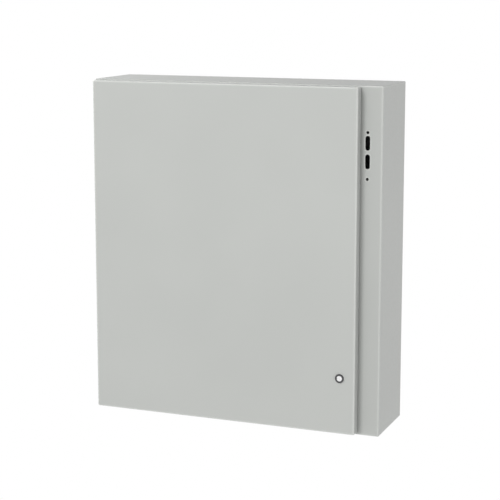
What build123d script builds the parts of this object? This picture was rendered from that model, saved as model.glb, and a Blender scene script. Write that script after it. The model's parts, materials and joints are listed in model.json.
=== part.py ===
from build123d import *

import os
from math import cos, radians, sin

# Automatic transfer switch in a wall-mounted sheet-steel enclosure, in millimetres.
# +Z is up, +X is to the right seen from the front, and the front faces -Y.
# The origin is the centre of the four wall-mounting holes, in the wall plane y = 0.
# "Depth" is the distance in front of the wall, so depth = -y.

os.makedirs("parts", exist_ok=True)

# ---------------------------------------------------------------- driving dimensions
# Enclosure body
WIDTH = 812.8
HEIGHT = 914.4
DEPTH = 203.2
SHEET = 2.0
BEND = 3.2
WELD_GAP = 0.1
WALL_HOLE_SPACING_X = 762.0
WALL_HOLE_SPACING_Z = 863.6
WALL_HOLE_RADIUS = 5.55

# Front opening with its forward-turned lip, wider on the left than on the flange side
OPENING_LEFT = -382.4
OPENING_RIGHT = 336.4
OPENING_HEIGHT = 866.4
OPENING_CORNER = 6.0
LIP_HEIGHT = 16.0
OPENING_X = (OPENING_LEFT + OPENING_RIGHT) / 2
OPENING_WIDTH = OPENING_RIGHT - OPENING_LEFT

# Cut-outs for an operating handle in the flange to the right of the door
FLANGE_X = 366.7
SLOT_Z = (311.4, 263.9)
SLOT_WIDTH = 12.7
SLOT_LENGTH = 38.0
SCREW_HOLE_Z = (338.7, 218.9)
SCREW_HOLE_RADIUS = 4.0

# Door
DOOR_LEFT = -400.05
DOOR_RIGHT = 348.4
DOOR_BOTTOM = -451.6
DOOR_TOP = 454.5
DOOR_FACE = 231.2
DOOR_REAR = 206.2
DOOR_INNER = DOOR_FACE - SHEET
DOOR_X = (DOOR_LEFT + DOOR_RIGHT) / 2
DOOR_Z = (DOOR_BOTTOM + DOOR_TOP) / 2
GASKET_WIDTH = 12.0
GASKET_GAP = 0.3
STIFFENER_X = (-200.0, 150.0)
STIFFENER_LENGTH = 800.0
HAT_WIDTH = 34.0
HAT_BRIM = 14.0
HAT_DEPTH = 12.0
HAT_SHEET = 1.5
POCKET_X = -25.0
POCKET_Z = -210.0
POCKET_WIDTH = 240.0
POCKET_HEIGHT = 190.0
POCKET_DEPTH = 16.0
POCKET_WALL = 1.5
POCKET_NOTCH = 22.0

# Continuous hinge
HINGE_X = -403.35
HINGE_DEPTH = 206.4
KNUCKLES = 34
KNUCKLE_PITCH = 25.4
KNUCKLE_LENGTH = 25.0
KNUCKLE_RADIUS = 3.0
HINGE_PIN_RADIUS = 1.5
HINGE_CLEARANCE = 0.05
LEAF_THICKNESS = 1.5
LEAF_WIDTH = 14.0
LEAF_NOTCH = 3.4

# Quarter-turn latch
LATCH_X = 307.1
LATCH_Z = -302.3
LATCH_RING_RADIUS = 12.0
LATCH_RING_HEIGHT = 3.0
LATCH_BODY_RADIUS = 9.8
LATCH_CORE_RADIUS = 7.7
LATCH_REAR = 213.0
LATCH_NUT_THICKNESS = 5.0
LATCH_NUT_FLATS = 26.0
LATCH_SLOT = 2.2
CAM_DEPTH = 197.7
CAM_THICKNESS = 3.0
CAM_WIDTH = 16.0
CAM_REACH = 45.0
CAM_SHANK = 8.0

# Inner mounting panel
PANEL_WIDTH = 736.6
PANEL_HEIGHT = 838.2
PANEL_SHEET = 2.5
PANEL_FACE = 27.0
PANEL_RETURN = 17.5
PANEL_CORNER = 4.0
STUD_SPACING_X = 711.2
STUD_SPACING_Z = 812.8
STUD_RADIUS = 4.0
STUD_TIP = 42.0
COLLAR_RADIUS = 8.0
NUT_FLATS = 13.0
NUT_THICKNESS = 6.5
WASHER_RADIUS = 9.0
WASHER_THICKNESS = 1.6

# Transfer switch: three poles on one horizontal shaft
SHAFT_X = -130.0
SHAFT_Z = 110.0
SHAFT_DEPTH = 92.0
POLE_PITCH = 85.0
POLES = [SHAFT_X + step * POLE_PITCH for step in (-1, 0, 1)]
THROW = 20.0
SHAFT_SQUARE = 22.0
JOURNAL_RADIUS = 9.0
RUNNING = 0.05
BASE_WIDTH = 290.0
BASE_TOP = 215.0
BASE_BOTTOM = -275.0
BASE_THICKNESS = 14.0
BASE_FACE = PANEL_FACE + BASE_THICKNESS
BARRIER_THICKNESS = 2.5
BARRIER_HALF_HEIGHT = 195.0
BARRIER_FRONT = 200.0
BEARING_X = 150.0
BEARING_SHEET = 3.0
BEARING_HALF_HEIGHT = 42.0
BEARING_FRONT = 125.0
BEARING_FOOT = 22.0

# Contacts
BAR_WIDTH = 24.0
BAR_THICKNESS = 6.0
ARM_LENGTH = 74.0
RING_RADIUS = 24.0
CARRIER_RADIUS = 18.0
CARRIER_WIDTH = 34.0
CHEEK_RADIUS = 27.0
PAD_START = 54.0
PAD_LENGTH = 18.0
PAD_THICKNESS = 3.5
CONTACT_GAP = 0.3
SADDLE_GAP = 0.3
SOURCE_LUG_Z = 172.0
SOURCE_BAR_DEPTH = 75.0
SOURCE_BAR_END = 195.0
SOURCE_BAR_STEP = 112.0
LOAD_LUG_Z = -232.0
LOAD_BAR_DEPTH = 47.0
LOAD_BAR_END = -258.0
LUG_WIDTH = 28.0
LUG_HEIGHT = 45.0
LUG_THICKNESS = 30.0
LUG_BORE = 8.5
LUG_BORE_OFFSET = 16.0
SET_SCREW_RADIUS = 7.0

# Arc chutes
CHUTE_WIDTH = 68.0
CHUTE_HALF_HEIGHT = 62.0
CHUTE_BACK = 168.5
CHUTE_FRONT = 198.0
CHUTE_WALL = 3.0
CHUTE_VENTS = 7
ARC_PLATES = 15
ARC_PLATE_PITCH = 7.0
ARC_PLATE_THICKNESS = 1.5

# Operator: crank, solenoid and maintenance handle
CRANK_RADIUS = 30.0
CRANK_PIN_RADIUS = 4.0
CRANK_X = SHAFT_X + 158.0
CRANK_THICKNESS = 10.0
YOKE_X = 48.0
YOKE_THICKNESS = 10.0
PLUNGER_DEPTH = 121.0
PLUNGER_RADIUS = 8.0
PLUNGER_GAP = 0.3
PLUNGER_TOP = 118.0
SOLENOID_BOTTOM = 48.0
SOLENOID_TOP = 128.0
SOLENOID_PLATE = 5.0
SOLENOID_WIDTH = 56.0
SOLENOID_BACK = 93.0
COIL_RADIUS = 23.0
HANDLE_X = SHAFT_X - 160.0
HANDLE_HUB = 16.0
HANDLE_ROD = 5.0
GRIP_START = 58.0
GRIP_END = 98.0
GRIP_RADIUS = 9.0
AUX_LEFT = 66.0
AUX_RIGHT = 100.0
AUX_HALF_HEIGHT = 38.0
AUX_FRONT = 122.0

# Controller
CONTROLLER_X = 250.0
CONTROLLER_Z = 250.0
CONTROLLER_WIDTH = 200.0
CONTROLLER_HEIGHT = 150.0
CONTROLLER_BACK = 45.0
CONTROLLER_FRONT = 100.0
CONTROLLER_WALL = 2.5
CONTROLLER_CORNER = 6.0
FACEPLATE = 3.0
DISPLAY_X = CONTROLLER_X - 40.0
DISPLAY_Z = CONTROLLER_Z + 32.0
DISPLAY_WIDTH = 96.0
DISPLAY_HEIGHT = 44.0
KEY_Z = CONTROLLER_Z - 38.0
KEY_X = {
    "key_up": CONTROLLER_X - 72.0,
    "key_down": CONTROLLER_X - 44.0,
    "key_enter": CONTROLLER_X - 16.0,
}
KEY_WIDTH = 18.0
KEY_HEIGHT = 12.0
KEY_FRONT = 106.0
KEY_GAP = 0.4
KNOB_X = CONTROLLER_X + 58.0
KNOB_RADIUS = 14.0
KNOB_BACK = 103.3
KNOB_FRONT = 121.0
KNOB_SHAFT_RADIUS = 3.0
KNOB_FLUTES = 14
LAMP_PITCH = 16.0
LAMPS = [CONTROLLER_X + 28.0 + step * LAMP_PITCH for step in range(5)]
LAMP_Z = CONTROLLER_Z + 40.0
LAMP_RADIUS = 3.0

# Control transformers
TRANSFORMER_X = (205.0, 305.0)
TRANSFORMER_Z = 75.0
CORE_WIDTH = 76.0
CORE_HEIGHT = 64.0
CORE_BACK = 42.0
CORE_FRONT = 78.0
CORE_LEG = 22.0
CORE_WINDOW_WIDTH = 14.0
CORE_WINDOW_HEIGHT = 38.0
COIL_OVERHANG = 12.0

# DIN rail and the devices on it
RAIL_Z = -245.0
RAIL_LEFT = -300.0
RAIL_RIGHT = 340.0
RAIL_HEIGHT = 35.0
RAIL_DEPTH = 7.5
RAIL_FACE = PANEL_FACE + RAIL_DEPTH + 0.1
BREAKER_X = {"breaker_toggle_normal": -262.0, "breaker_toggle_emergency": -225.0}
BREAKER_WIDTH = 35.0
BREAKER_HALF_HEIGHT = 42.5
BREAKER_NOSE = 97.0
TOGGLE_DEPTH = 93.0
TOGGLE_RADIUS = 9.0
TOGGLE_WIDTH = 20.0
TOGGLE_TILT = 35.0
TOGGLE_LENGTH = 20.0
RELAY_X = (-180.0, -144.0, -108.0)
RELAY_WIDTH = 30.0
TERMINALS = 24
TERMINAL_PITCH = 8.0
TERMINAL_WIDTH = 7.7
TERMINAL_FIRST_X = 0.0

# Slotted wiring duct
DUCT_WIDTH = 28.0
DUCT_DEPTH = 40.0
DUCT_WALL = 1.5
DUCT_PITCH = 12.0
DUCT_SLOT = 5.0
DUCT_SLOT_DEPTH = 28.0
COVER_THICKNESS = 1.5
UPRIGHT_DUCT_X = 120.0
UPRIGHT_DUCT_BOTTOM = -196.0
UPRIGHT_DUCT_LENGTH = 588.0
LEVEL_DUCT_Z = -330.0
LEVEL_DUCT_LEFT = -300.0
LEVEL_DUCT_LENGTH = 636.0

# Ground and neutral bars
BAR_Z = -385.0
GROUND_BAR_X = -260.0
GROUND_BAR_LENGTH = 140.0
GROUND_BAR_BACK = 33.0
GROUND_BAR_FRONT = 43.0
GROUND_HOLES = 8
NEUTRAL_BAR_X = 195.0
NEUTRAL_BAR_LENGTH = 270.0
NEUTRAL_BAR_BACK = 57.0
NEUTRAL_BAR_FRONT = 71.0
NEUTRAL_HOLES = 12
BAR_HEIGHT = 16.0
BAR_HOLE_PITCH = 15.0
BAR_HOLE_RADIUS = 3.0
INSULATOR_RADIUS = 11.0

# Panel screws, M6
SCREW_RADIUS = 2.9
SCREW_CLEARANCE = 0.3
SCREW_HEAD_FLATS = 10.0
SCREW_HEAD_HEIGHT = 4.5
SCREW_TIP = 20.0
BASE_SCREW_X = 132.0
BASE_SCREW_TOP = 205.0
BASE_SCREW_BOTTOM = -265.0


# ---------------------------------------------------------------- planes and helpers
def front(depth, x=0.0, z=0.0):
    """Plane that faces the front; sketches on it read right and up from (x, z)."""
    return Plane(origin=(x, -depth, z), x_dir=(1, 0, 0), z_dir=(0, -1, 0))


def side(x, depth=0.0, z=0.0, tilt=0.0):
    """Plane across X; sketches read forward and up, and the forward axis is raised by tilt."""
    forward = (0, -cos(radians(tilt)), sin(radians(tilt)))
    return Plane(origin=(x, -depth, z), x_dir=forward, z_dir=(-1, 0, 0))


def at_shaft(x, tilt=0.0):
    """Side plane whose origin is on the main shaft's axis."""
    return side(x, SHAFT_DEPTH, SHAFT_Z, tilt)


def save(piece, label):
    """Label a finished piece and write it as its own STEP file."""
    piece.part.label = label
    export_step(piece.part, f"parts/{label}.step")


def knuckle_heights(first):
    """Heights of every second knuckle, starting with knuckle number first."""
    middle = (KNUCKLES - 1) / 2
    return [(index - middle) * KNUCKLE_PITCH for index in range(first, KNUCKLES, 2)]


def screws_at(centre_x, centre_z, spacing_x, spacing_z, seat):
    """Four screws on a rectangle, each as (x, z, depth of the face under its head)."""
    return [
        (centre_x + sx * spacing_x / 2, centre_z + sz * spacing_z / 2, seat)
        for sx in (-1, 1)
        for sz in (-1, 1)
    ]


# ---------------------------------------------------------------- panel screw places
BASE_SCREWS = screws_at(
    SHAFT_X,
    SHAFT_Z + (BASE_SCREW_TOP + BASE_SCREW_BOTTOM) / 2,
    2 * BASE_SCREW_X,
    BASE_SCREW_TOP - BASE_SCREW_BOTTOM,
    BASE_FACE,
)
BEARING_SCREWS = screws_at(
    SHAFT_X,
    SHAFT_Z,
    2 * BEARING_X + BEARING_FOOT + BEARING_SHEET,
    1.4 * BEARING_HALF_HEIGHT,
    PANEL_FACE + BEARING_SHEET,
)
SOLENOID_SCREWS = [
    (YOKE_X, SHAFT_Z + height, PANEL_FACE + BEARING_SHEET)
    for height in (SOLENOID_BOTTOM + 18, SOLENOID_TOP - 18)
]
RAIL_SCREWS = [(x, RAIL_Z, PANEL_FACE + 1.0) for x in (-85.0, -20.0, 325.0)]
UPRIGHT_DUCT_SCREWS = [
    (UPRIGHT_DUCT_X, UPRIGHT_DUCT_BOTTOM + share * UPRIGHT_DUCT_LENGTH, PANEL_FACE + DUCT_WALL)
    for share in (0.1, 0.9)
]
LEVEL_DUCT_SCREWS = [
    (LEVEL_DUCT_LEFT + share * LEVEL_DUCT_LENGTH, LEVEL_DUCT_Z, PANEL_FACE + DUCT_WALL)
    for share in (0.1, 0.9)
]
GROUND_BAR_SCREWS = [
    (GROUND_BAR_X + side_of_bar * (GROUND_BAR_LENGTH / 2 - 6), BAR_Z, GROUND_BAR_FRONT)
    for side_of_bar in (-1, 1)
]
PANEL_SCREWS = (
    BASE_SCREWS
    + BEARING_SCREWS
    + SOLENOID_SCREWS
    + RAIL_SCREWS
    + UPRIGHT_DUCT_SCREWS
    + LEVEL_DUCT_SCREWS
    + GROUND_BAR_SCREWS
)


def drill(screws):
    """Cut the clearance holes of these screws through the part being built."""
    with BuildSketch(front(0)) as holes:
        with Locations(*[(x, z) for x, z, _ in screws]):
            Circle(SCREW_RADIUS + SCREW_CLEARANCE)
    return extrude(holes.sketch, amount=DEPTH, mode=Mode.PRIVATE)


# ---------------------------------------------------------------- enclosure body
with BuildPart() as enclosure_wrapper:
    with BuildSketch(front(0)):
        Rectangle(WIDTH, HEIGHT)
    extrude(amount=DEPTH)
    front_edges = enclosure_wrapper.faces().sort_by(Axis.Y)[0].edges()
    corner_edges = enclosure_wrapper.edges().filter_by(Axis.Y)
    fillet(front_edges + corner_edges, BEND)
    offset(amount=-SHEET, openings=enclosure_wrapper.faces().sort_by(Axis.Y)[-1])
    with BuildSketch(front(DEPTH - SHEET, OPENING_X)):
        RectangleRounded(
            OPENING_WIDTH + 2 * SHEET,
            OPENING_HEIGHT + 2 * SHEET,
            OPENING_CORNER + SHEET,
        )
    extrude(amount=SHEET + LIP_HEIGHT)
    with BuildSketch(front(DEPTH - SHEET, OPENING_X)):
        RectangleRounded(OPENING_WIDTH, OPENING_HEIGHT, OPENING_CORNER)
    extrude(amount=SHEET + LIP_HEIGHT, mode=Mode.SUBTRACT)
    with BuildSketch(front(DEPTH - SHEET, FLANGE_X)):
        with Locations(*[(0, z) for z in SLOT_Z]):
            SlotOverall(SLOT_LENGTH, SLOT_WIDTH, rotation=90)
        with Locations(*[(0, z) for z in SCREW_HOLE_Z]):
            Circle(SCREW_HOLE_RADIUS)
    extrude(amount=SHEET, mode=Mode.SUBTRACT)
save(enclosure_wrapper, "enclosure_wrapper")

with BuildPart() as enclosure_back:
    with BuildSketch(front(0)):
        RectangleRounded(
            WIDTH - 2 * SHEET - WELD_GAP,
            HEIGHT - 2 * SHEET - WELD_GAP,
            BEND - SHEET,
        )
        with GridLocations(WALL_HOLE_SPACING_X, WALL_HOLE_SPACING_Z, 2, 2):
            Circle(WALL_HOLE_RADIUS, mode=Mode.SUBTRACT)
    extrude(amount=SHEET)
save(enclosure_back, "enclosure_back")

# ---------------------------------------------------------------- inner mounting panel
with BuildPart() as panel_studs:
    with BuildSketch(front(SHEET)):
        with GridLocations(STUD_SPACING_X, STUD_SPACING_Z, 2, 2):
            Circle(COLLAR_RADIUS)
    extrude(amount=PANEL_FACE - PANEL_SHEET - SHEET)
    with BuildSketch(front(PANEL_FACE - PANEL_SHEET)):
        with GridLocations(STUD_SPACING_X, STUD_SPACING_Z, 2, 2):
            Circle(STUD_RADIUS)
    extrude(amount=STUD_TIP - PANEL_FACE + PANEL_SHEET)
save(panel_studs, "panel_studs")

with BuildPart() as panel_nuts:
    with BuildSketch(front(PANEL_FACE)):
        with GridLocations(STUD_SPACING_X, STUD_SPACING_Z, 2, 2):
            Circle(WASHER_RADIUS)
            Circle(STUD_RADIUS + WELD_GAP, mode=Mode.SUBTRACT)
    extrude(amount=WASHER_THICKNESS)
    with BuildSketch(front(PANEL_FACE + WASHER_THICKNESS)):
        with GridLocations(STUD_SPACING_X, STUD_SPACING_Z, 2, 2):
            RegularPolygon(NUT_FLATS / 2, 6, major_radius=False)
            Circle(STUD_RADIUS + WELD_GAP, mode=Mode.SUBTRACT)
    extrude(amount=NUT_THICKNESS)
save(panel_nuts, "panel_nuts")

with BuildPart() as mounting_panel:
    with BuildSketch(front(PANEL_FACE - PANEL_RETURN)):
        Rectangle(PANEL_WIDTH, PANEL_HEIGHT)
    extrude(amount=PANEL_RETURN)
    panel_front = mounting_panel.faces().sort_by(Axis.Y)[0].edges()
    panel_corners = mounting_panel.edges().filter_by(Axis.Y)
    fillet(panel_front + panel_corners, PANEL_CORNER)
    offset(amount=-PANEL_SHEET, openings=mounting_panel.faces().sort_by(Axis.Y)[-1])
    with BuildSketch(front(PANEL_FACE - PANEL_SHEET)):
        with GridLocations(STUD_SPACING_X, STUD_SPACING_Z, 2, 2):
            Circle(STUD_RADIUS + 0.5)
    extrude(amount=PANEL_SHEET, mode=Mode.SUBTRACT)
    add(drill(PANEL_SCREWS), mode=Mode.SUBTRACT)
save(mounting_panel, "mounting_panel")

# ---------------------------------------------------------------- door
with BuildPart() as door_panel:
    with BuildSketch(front(DOOR_REAR, DOOR_X, DOOR_Z)):
        Rectangle(DOOR_RIGHT - DOOR_LEFT, DOOR_TOP - DOOR_BOTTOM)
    extrude(amount=DOOR_FACE - DOOR_REAR)
    door_front = door_panel.faces().sort_by(Axis.Y)[0].edges()
    door_corners = door_panel.edges().filter_by(Axis.Y)
    fillet(door_front + door_corners, BEND)
    offset(amount=-SHEET, openings=door_panel.faces().sort_by(Axis.Y)[-1])
    with BuildSketch(front(DOOR_INNER, LATCH_X, LATCH_Z)):
        Circle(LATCH_BODY_RADIUS + CONTACT_GAP)
    extrude(amount=SHEET, mode=Mode.SUBTRACT)
save(door_panel, "door_panel")

with BuildPart() as door_gasket:
    with BuildSketch(front(DEPTH + LIP_HEIGHT + GASKET_GAP, OPENING_X)):
        RectangleRounded(
            OPENING_WIDTH + SHEET + GASKET_WIDTH,
            OPENING_HEIGHT + SHEET + GASKET_WIDTH,
            OPENING_CORNER + GASKET_WIDTH / 2,
        )
        RectangleRounded(
            OPENING_WIDTH + SHEET - GASKET_WIDTH,
            OPENING_HEIGHT + SHEET - GASKET_WIDTH,
            OPENING_CORNER - GASKET_WIDTH / 2 + SHEET,
            mode=Mode.SUBTRACT,
        )
    extrude(amount=DOOR_INNER - DEPTH - LIP_HEIGHT - GASKET_GAP)
save(door_gasket, "door_gasket")

with BuildPart() as door_stiffeners:
    with BuildSketch(Plane.XY.offset(DOOR_Z - STIFFENER_LENGTH / 2)):
        with Locations(*[(x, HAT_DEPTH / 2 - DOOR_INNER) for x in STIFFENER_X]):
            Rectangle(HAT_WIDTH, HAT_DEPTH)
        with Locations(*[(x, (HAT_DEPTH - HAT_SHEET) / 2 - DOOR_INNER) for x in STIFFENER_X]):
            Rectangle(
                HAT_WIDTH - 2 * HAT_SHEET,
                HAT_DEPTH - HAT_SHEET,
                mode=Mode.SUBTRACT,
            )
        brim_offset = (HAT_WIDTH + HAT_BRIM) / 2
        brims = [
            (x + hand * brim_offset, HAT_SHEET / 2 - DOOR_INNER)
            for x in STIFFENER_X
            for hand in (-1, 1)
        ]
        with Locations(*brims):
            Rectangle(HAT_BRIM, HAT_SHEET)
    extrude(amount=STIFFENER_LENGTH)
save(door_stiffeners, "door_stiffeners")

with BuildPart() as document_pocket:
    with BuildSketch(front(DOOR_INNER - POCKET_DEPTH, POCKET_X, POCKET_Z)):
        RectangleRounded(POCKET_WIDTH, POCKET_HEIGHT, 6)
    extrude(amount=POCKET_DEPTH)
    with BuildSketch(front(DOOR_INNER - POCKET_DEPTH + POCKET_WALL, POCKET_X, POCKET_Z + POCKET_WALL)):
        Rectangle(POCKET_WIDTH - 2 * POCKET_WALL, POCKET_HEIGHT)
    extrude(amount=POCKET_DEPTH - 2 * POCKET_WALL, mode=Mode.SUBTRACT)
    with BuildSketch(front(DOOR_INNER - POCKET_DEPTH, POCKET_X, POCKET_Z + POCKET_HEIGHT / 2)):
        Circle(POCKET_NOTCH)
    extrude(amount=POCKET_WALL, mode=Mode.SUBTRACT)
save(document_pocket, "document_pocket")

# ---------------------------------------------------------------- continuous hinge
HINGE_LENGTH = KNUCKLES * KNUCKLE_PITCH

with BuildPart() as body_hinge_leaf:
    with BuildSketch(front(DEPTH, HINGE_X)):
        with Locations((LEAF_NOTCH + LEAF_WIDTH / 2, 0)):
            Rectangle(LEAF_WIDTH, HINGE_LENGTH)
        with Locations(*[(LEAF_NOTCH / 2, z) for z in knuckle_heights(0)]):
            Rectangle(LEAF_NOTCH, KNUCKLE_LENGTH)
    extrude(amount=LEAF_THICKNESS)
    with Locations(*[(HINGE_X, -HINGE_DEPTH, z) for z in knuckle_heights(0)]):
        Cylinder(KNUCKLE_RADIUS, KNUCKLE_LENGTH)
    with Locations((HINGE_X, -HINGE_DEPTH, 0)):
        Cylinder(HINGE_PIN_RADIUS + HINGE_CLEARANCE, HINGE_LENGTH, mode=Mode.SUBTRACT)
save(body_hinge_leaf, "body_hinge_leaf")

with BuildPart() as door_hinge_leaf:
    with BuildSketch(side(DOOR_LEFT, HINGE_DEPTH)):
        with Locations((LEAF_NOTCH + LEAF_WIDTH / 2, 0)):
            Rectangle(LEAF_WIDTH, HINGE_LENGTH)
        with Locations(*[(LEAF_NOTCH / 2, z) for z in knuckle_heights(1)]):
            Rectangle(LEAF_NOTCH, KNUCKLE_LENGTH)
    extrude(amount=LEAF_THICKNESS)
    with Locations(*[(HINGE_X, -HINGE_DEPTH, z) for z in knuckle_heights(1)]):
        Cylinder(KNUCKLE_RADIUS, KNUCKLE_LENGTH)
    with Locations((HINGE_X, -HINGE_DEPTH, 0)):
        Cylinder(HINGE_PIN_RADIUS + HINGE_CLEARANCE, HINGE_LENGTH, mode=Mode.SUBTRACT)
save(door_hinge_leaf, "door_hinge_leaf")

with BuildPart() as hinge_pin:
    with Locations((HINGE_X, -HINGE_DEPTH, 0)):
        Cylinder(HINGE_PIN_RADIUS, HINGE_LENGTH + 2)
save(hinge_pin, "hinge_pin")

# ---------------------------------------------------------------- quarter-turn latch
with BuildPart() as latch_housing:
    with BuildSketch(front(DOOR_FACE, LATCH_X, LATCH_Z)):
        Circle(LATCH_RING_RADIUS)
    extrude(amount=LATCH_RING_HEIGHT)
    ring_edge = latch_housing.faces().sort_by(Axis.Y)[0].edges()
    fillet(ring_edge, 1.2)
    with BuildSketch(front(LATCH_REAR, LATCH_X, LATCH_Z)):
        Circle(LATCH_BODY_RADIUS)
    extrude(amount=DOOR_FACE - LATCH_REAR)
    with BuildSketch(front(LATCH_REAR, LATCH_X, LATCH_Z)):
        Circle(LATCH_CORE_RADIUS + RUNNING)
    extrude(amount=DOOR_FACE + LATCH_RING_HEIGHT - LATCH_REAR, mode=Mode.SUBTRACT)
save(latch_housing, "latch_housing")

with BuildPart() as latch_nut:
    with BuildSketch(front(DOOR_INNER - LATCH_NUT_THICKNESS, LATCH_X, LATCH_Z)):
        RegularPolygon(LATCH_NUT_FLATS / 2, 6, major_radius=False)
        Circle(LATCH_BODY_RADIUS + WELD_GAP, mode=Mode.SUBTRACT)
    extrude(amount=LATCH_NUT_THICKNESS)
save(latch_nut, "latch_nut")

with BuildPart() as latch_core:
    core_face = DOOR_FACE + LATCH_RING_HEIGHT - 0.8
    with BuildSketch(front(LATCH_REAR + 1, LATCH_X, LATCH_Z)):
        Circle(LATCH_CORE_RADIUS)
    extrude(amount=core_face - LATCH_REAR - 1)
    chamfer(latch_core.faces().sort_by(Axis.Y)[0].edges(), 0.5)
    with BuildSketch(front(CAM_DEPTH, LATCH_X, LATCH_Z)):
        Rectangle(CAM_SHANK, CAM_SHANK)
    extrude(amount=LATCH_REAR + 1 - CAM_DEPTH)
    with BuildSketch(front(core_face - LATCH_SLOT, LATCH_X, LATCH_Z)):
        Rectangle(2 * LATCH_RING_RADIUS, LATCH_SLOT)
    extrude(amount=LATCH_SLOT, mode=Mode.SUBTRACT)
save(latch_core, "latch_core")

with BuildPart() as latch_cam:
    cam_length = CAM_REACH + CAM_WIDTH / 2
    with BuildSketch(front(CAM_DEPTH, LATCH_X, LATCH_Z)):
        with Locations((0, (CAM_WIDTH / 2 - CAM_REACH) / 2)):
            SlotOverall(cam_length, CAM_WIDTH, rotation=90)
        Rectangle(CAM_SHANK + WELD_GAP, CAM_SHANK + WELD_GAP, mode=Mode.SUBTRACT)
    extrude(amount=CAM_THICKNESS)
save(latch_cam, "latch_cam")

# ---------------------------------------------------------------- transfer switch frame
with BuildPart() as switch_base:
    base_middle = SHAFT_Z + (BASE_TOP + BASE_BOTTOM) / 2
    with BuildSketch(front(PANEL_FACE, SHAFT_X, base_middle)):
        RectangleRounded(BASE_WIDTH, BASE_TOP - BASE_BOTTOM, 8)
    extrude(amount=BASE_THICKNESS)
    # Posts that carry the source terminals; the lower ones straddle the load bars.
    post_front = SOURCE_BAR_DEPTH - BAR_THICKNESS / 2
    with BuildSketch(front(BASE_FACE, SHAFT_X, SHAFT_Z)):
        with GridLocations(POLE_PITCH, 2 * SOURCE_LUG_Z, 3, 2):
            RectangleRounded(46, LUG_HEIGHT, 3)
    extrude(amount=post_front - BASE_FACE)
    load_channel_front = LOAD_BAR_DEPTH + BAR_THICKNESS
    with BuildSketch(front(BASE_FACE, SHAFT_X, SHAFT_Z - SOURCE_LUG_Z)):
        with GridLocations(POLE_PITCH, 1, 3, 1):
            Rectangle(BAR_WIDTH + 6, LUG_HEIGHT + 2)
    extrude(amount=load_channel_front - BASE_FACE, mode=Mode.SUBTRACT)
    # Low pads under the load bars.
    with BuildSketch(front(BASE_FACE, SHAFT_X, SHAFT_Z)):
        with Locations((0, LOAD_LUG_Z), (0, -80)):
            with GridLocations(POLE_PITCH, 1, 3, 1):
                RectangleRounded(36, 40, 3)
    extrude(amount=LOAD_BAR_DEPTH - BAR_THICKNESS / 2 - BASE_FACE)
    add(drill(BASE_SCREWS), mode=Mode.SUBTRACT)
save(switch_base, "switch_base")

with BuildPart() as pole_barriers:
    barrier_middle = (BARRIER_FRONT + BASE_FACE) / 2 - SHAFT_DEPTH
    for step in (-1.5, -0.5, 0.5, 1.5):
        with BuildSketch(at_shaft(SHAFT_X + step * POLE_PITCH)):
            with Locations((barrier_middle, 0)):
                RectangleRounded(BARRIER_FRONT - BASE_FACE, 2 * BARRIER_HALF_HEIGHT, 5)
            Circle(CARRIER_RADIUS - 1, mode=Mode.SUBTRACT)
        extrude(amount=BARRIER_THICKNESS / 2, both=True)
save(pole_barriers, "pole_barriers")

with BuildPart() as bearing_plates:
    for hand in (-1, 1):
        plate_middle = (BEARING_FRONT + PANEL_FACE) / 2 - SHAFT_DEPTH
        with BuildSketch(at_shaft(SHAFT_X + hand * (BEARING_X + BEARING_SHEET / 2))):
            with Locations((plate_middle, 0)):
                RectangleRounded(BEARING_FRONT - PANEL_FACE, 2 * BEARING_HALF_HEIGHT, 10)
            with Locations((PANEL_FACE + 10 - SHAFT_DEPTH, 0)):
                Rectangle(20, 2 * BEARING_HALF_HEIGHT)
            Circle(JOURNAL_RADIUS + RUNNING, mode=Mode.SUBTRACT)
        extrude(amount=BEARING_SHEET / 2, both=True)
        foot_x = SHAFT_X + hand * (BEARING_X + (BEARING_FOOT + BEARING_SHEET) / 2)
        with BuildSketch(front(PANEL_FACE, foot_x, SHAFT_Z)):
            Rectangle(BEARING_FOOT + BEARING_SHEET, 2 * BEARING_HALF_HEIGHT)
        extrude(amount=BEARING_SHEET)
    add(drill(BEARING_SCREWS), mode=Mode.SUBTRACT)
save(bearing_plates, "bearing_plates")

# ---------------------------------------------------------------- main shaft and arms
with BuildPart() as main_shaft:
    with BuildSketch(at_shaft(SHAFT_X, THROW)):
        RectangleRounded(SHAFT_SQUARE, SHAFT_SQUARE, 2)
    extrude(amount=BEARING_X - 4, both=True)
    shaft_right = AUX_RIGHT - 6
    with BuildSketch(at_shaft(shaft_right)):
        Circle(JOURNAL_RADIUS)
    extrude(amount=shaft_right - HANDLE_X + 12)
save(main_shaft, "main_shaft")

with BuildPart() as shaft_carriers:
    for pole in POLES:
        with BuildSketch(at_shaft(pole, THROW)):
            Circle(CARRIER_RADIUS)
        extrude(amount=CARRIER_WIDTH / 2, both=True)
        cheek = (CARRIER_WIDTH - BAR_WIDTH) / 2 - CONTACT_GAP
        for outer in (pole - CARRIER_WIDTH / 2 + cheek, pole + CARRIER_WIDTH / 2):
            with BuildSketch(at_shaft(outer, THROW)):
                Circle(CHEEK_RADIUS)
            extrude(amount=cheek)
        with BuildSketch(at_shaft(pole, THROW)):
            Rectangle(SHAFT_SQUARE + WELD_GAP, SHAFT_SQUARE + WELD_GAP)
        extrude(amount=CARRIER_WIDTH / 2, both=True, mode=Mode.SUBTRACT)
save(shaft_carriers, "shaft_carriers")

with BuildPart() as moving_contacts:
    for pole in POLES:
        with BuildSketch(at_shaft(pole, THROW)):
            Circle(RING_RADIUS)
            with Locations(((ARM_LENGTH + CARRIER_RADIUS) / 2, 0)):
                Rectangle(ARM_LENGTH - CARRIER_RADIUS, BAR_THICKNESS)
            with Locations((PAD_START + PAD_LENGTH / 2, 0)):
                Rectangle(PAD_LENGTH, BAR_THICKNESS + 2 * PAD_THICKNESS)
            Circle(CARRIER_RADIUS + WELD_GAP, mode=Mode.SUBTRACT)
        extrude(amount=BAR_WIDTH / 2, both=True)
save(moving_contacts, "moving_contacts")


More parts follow.
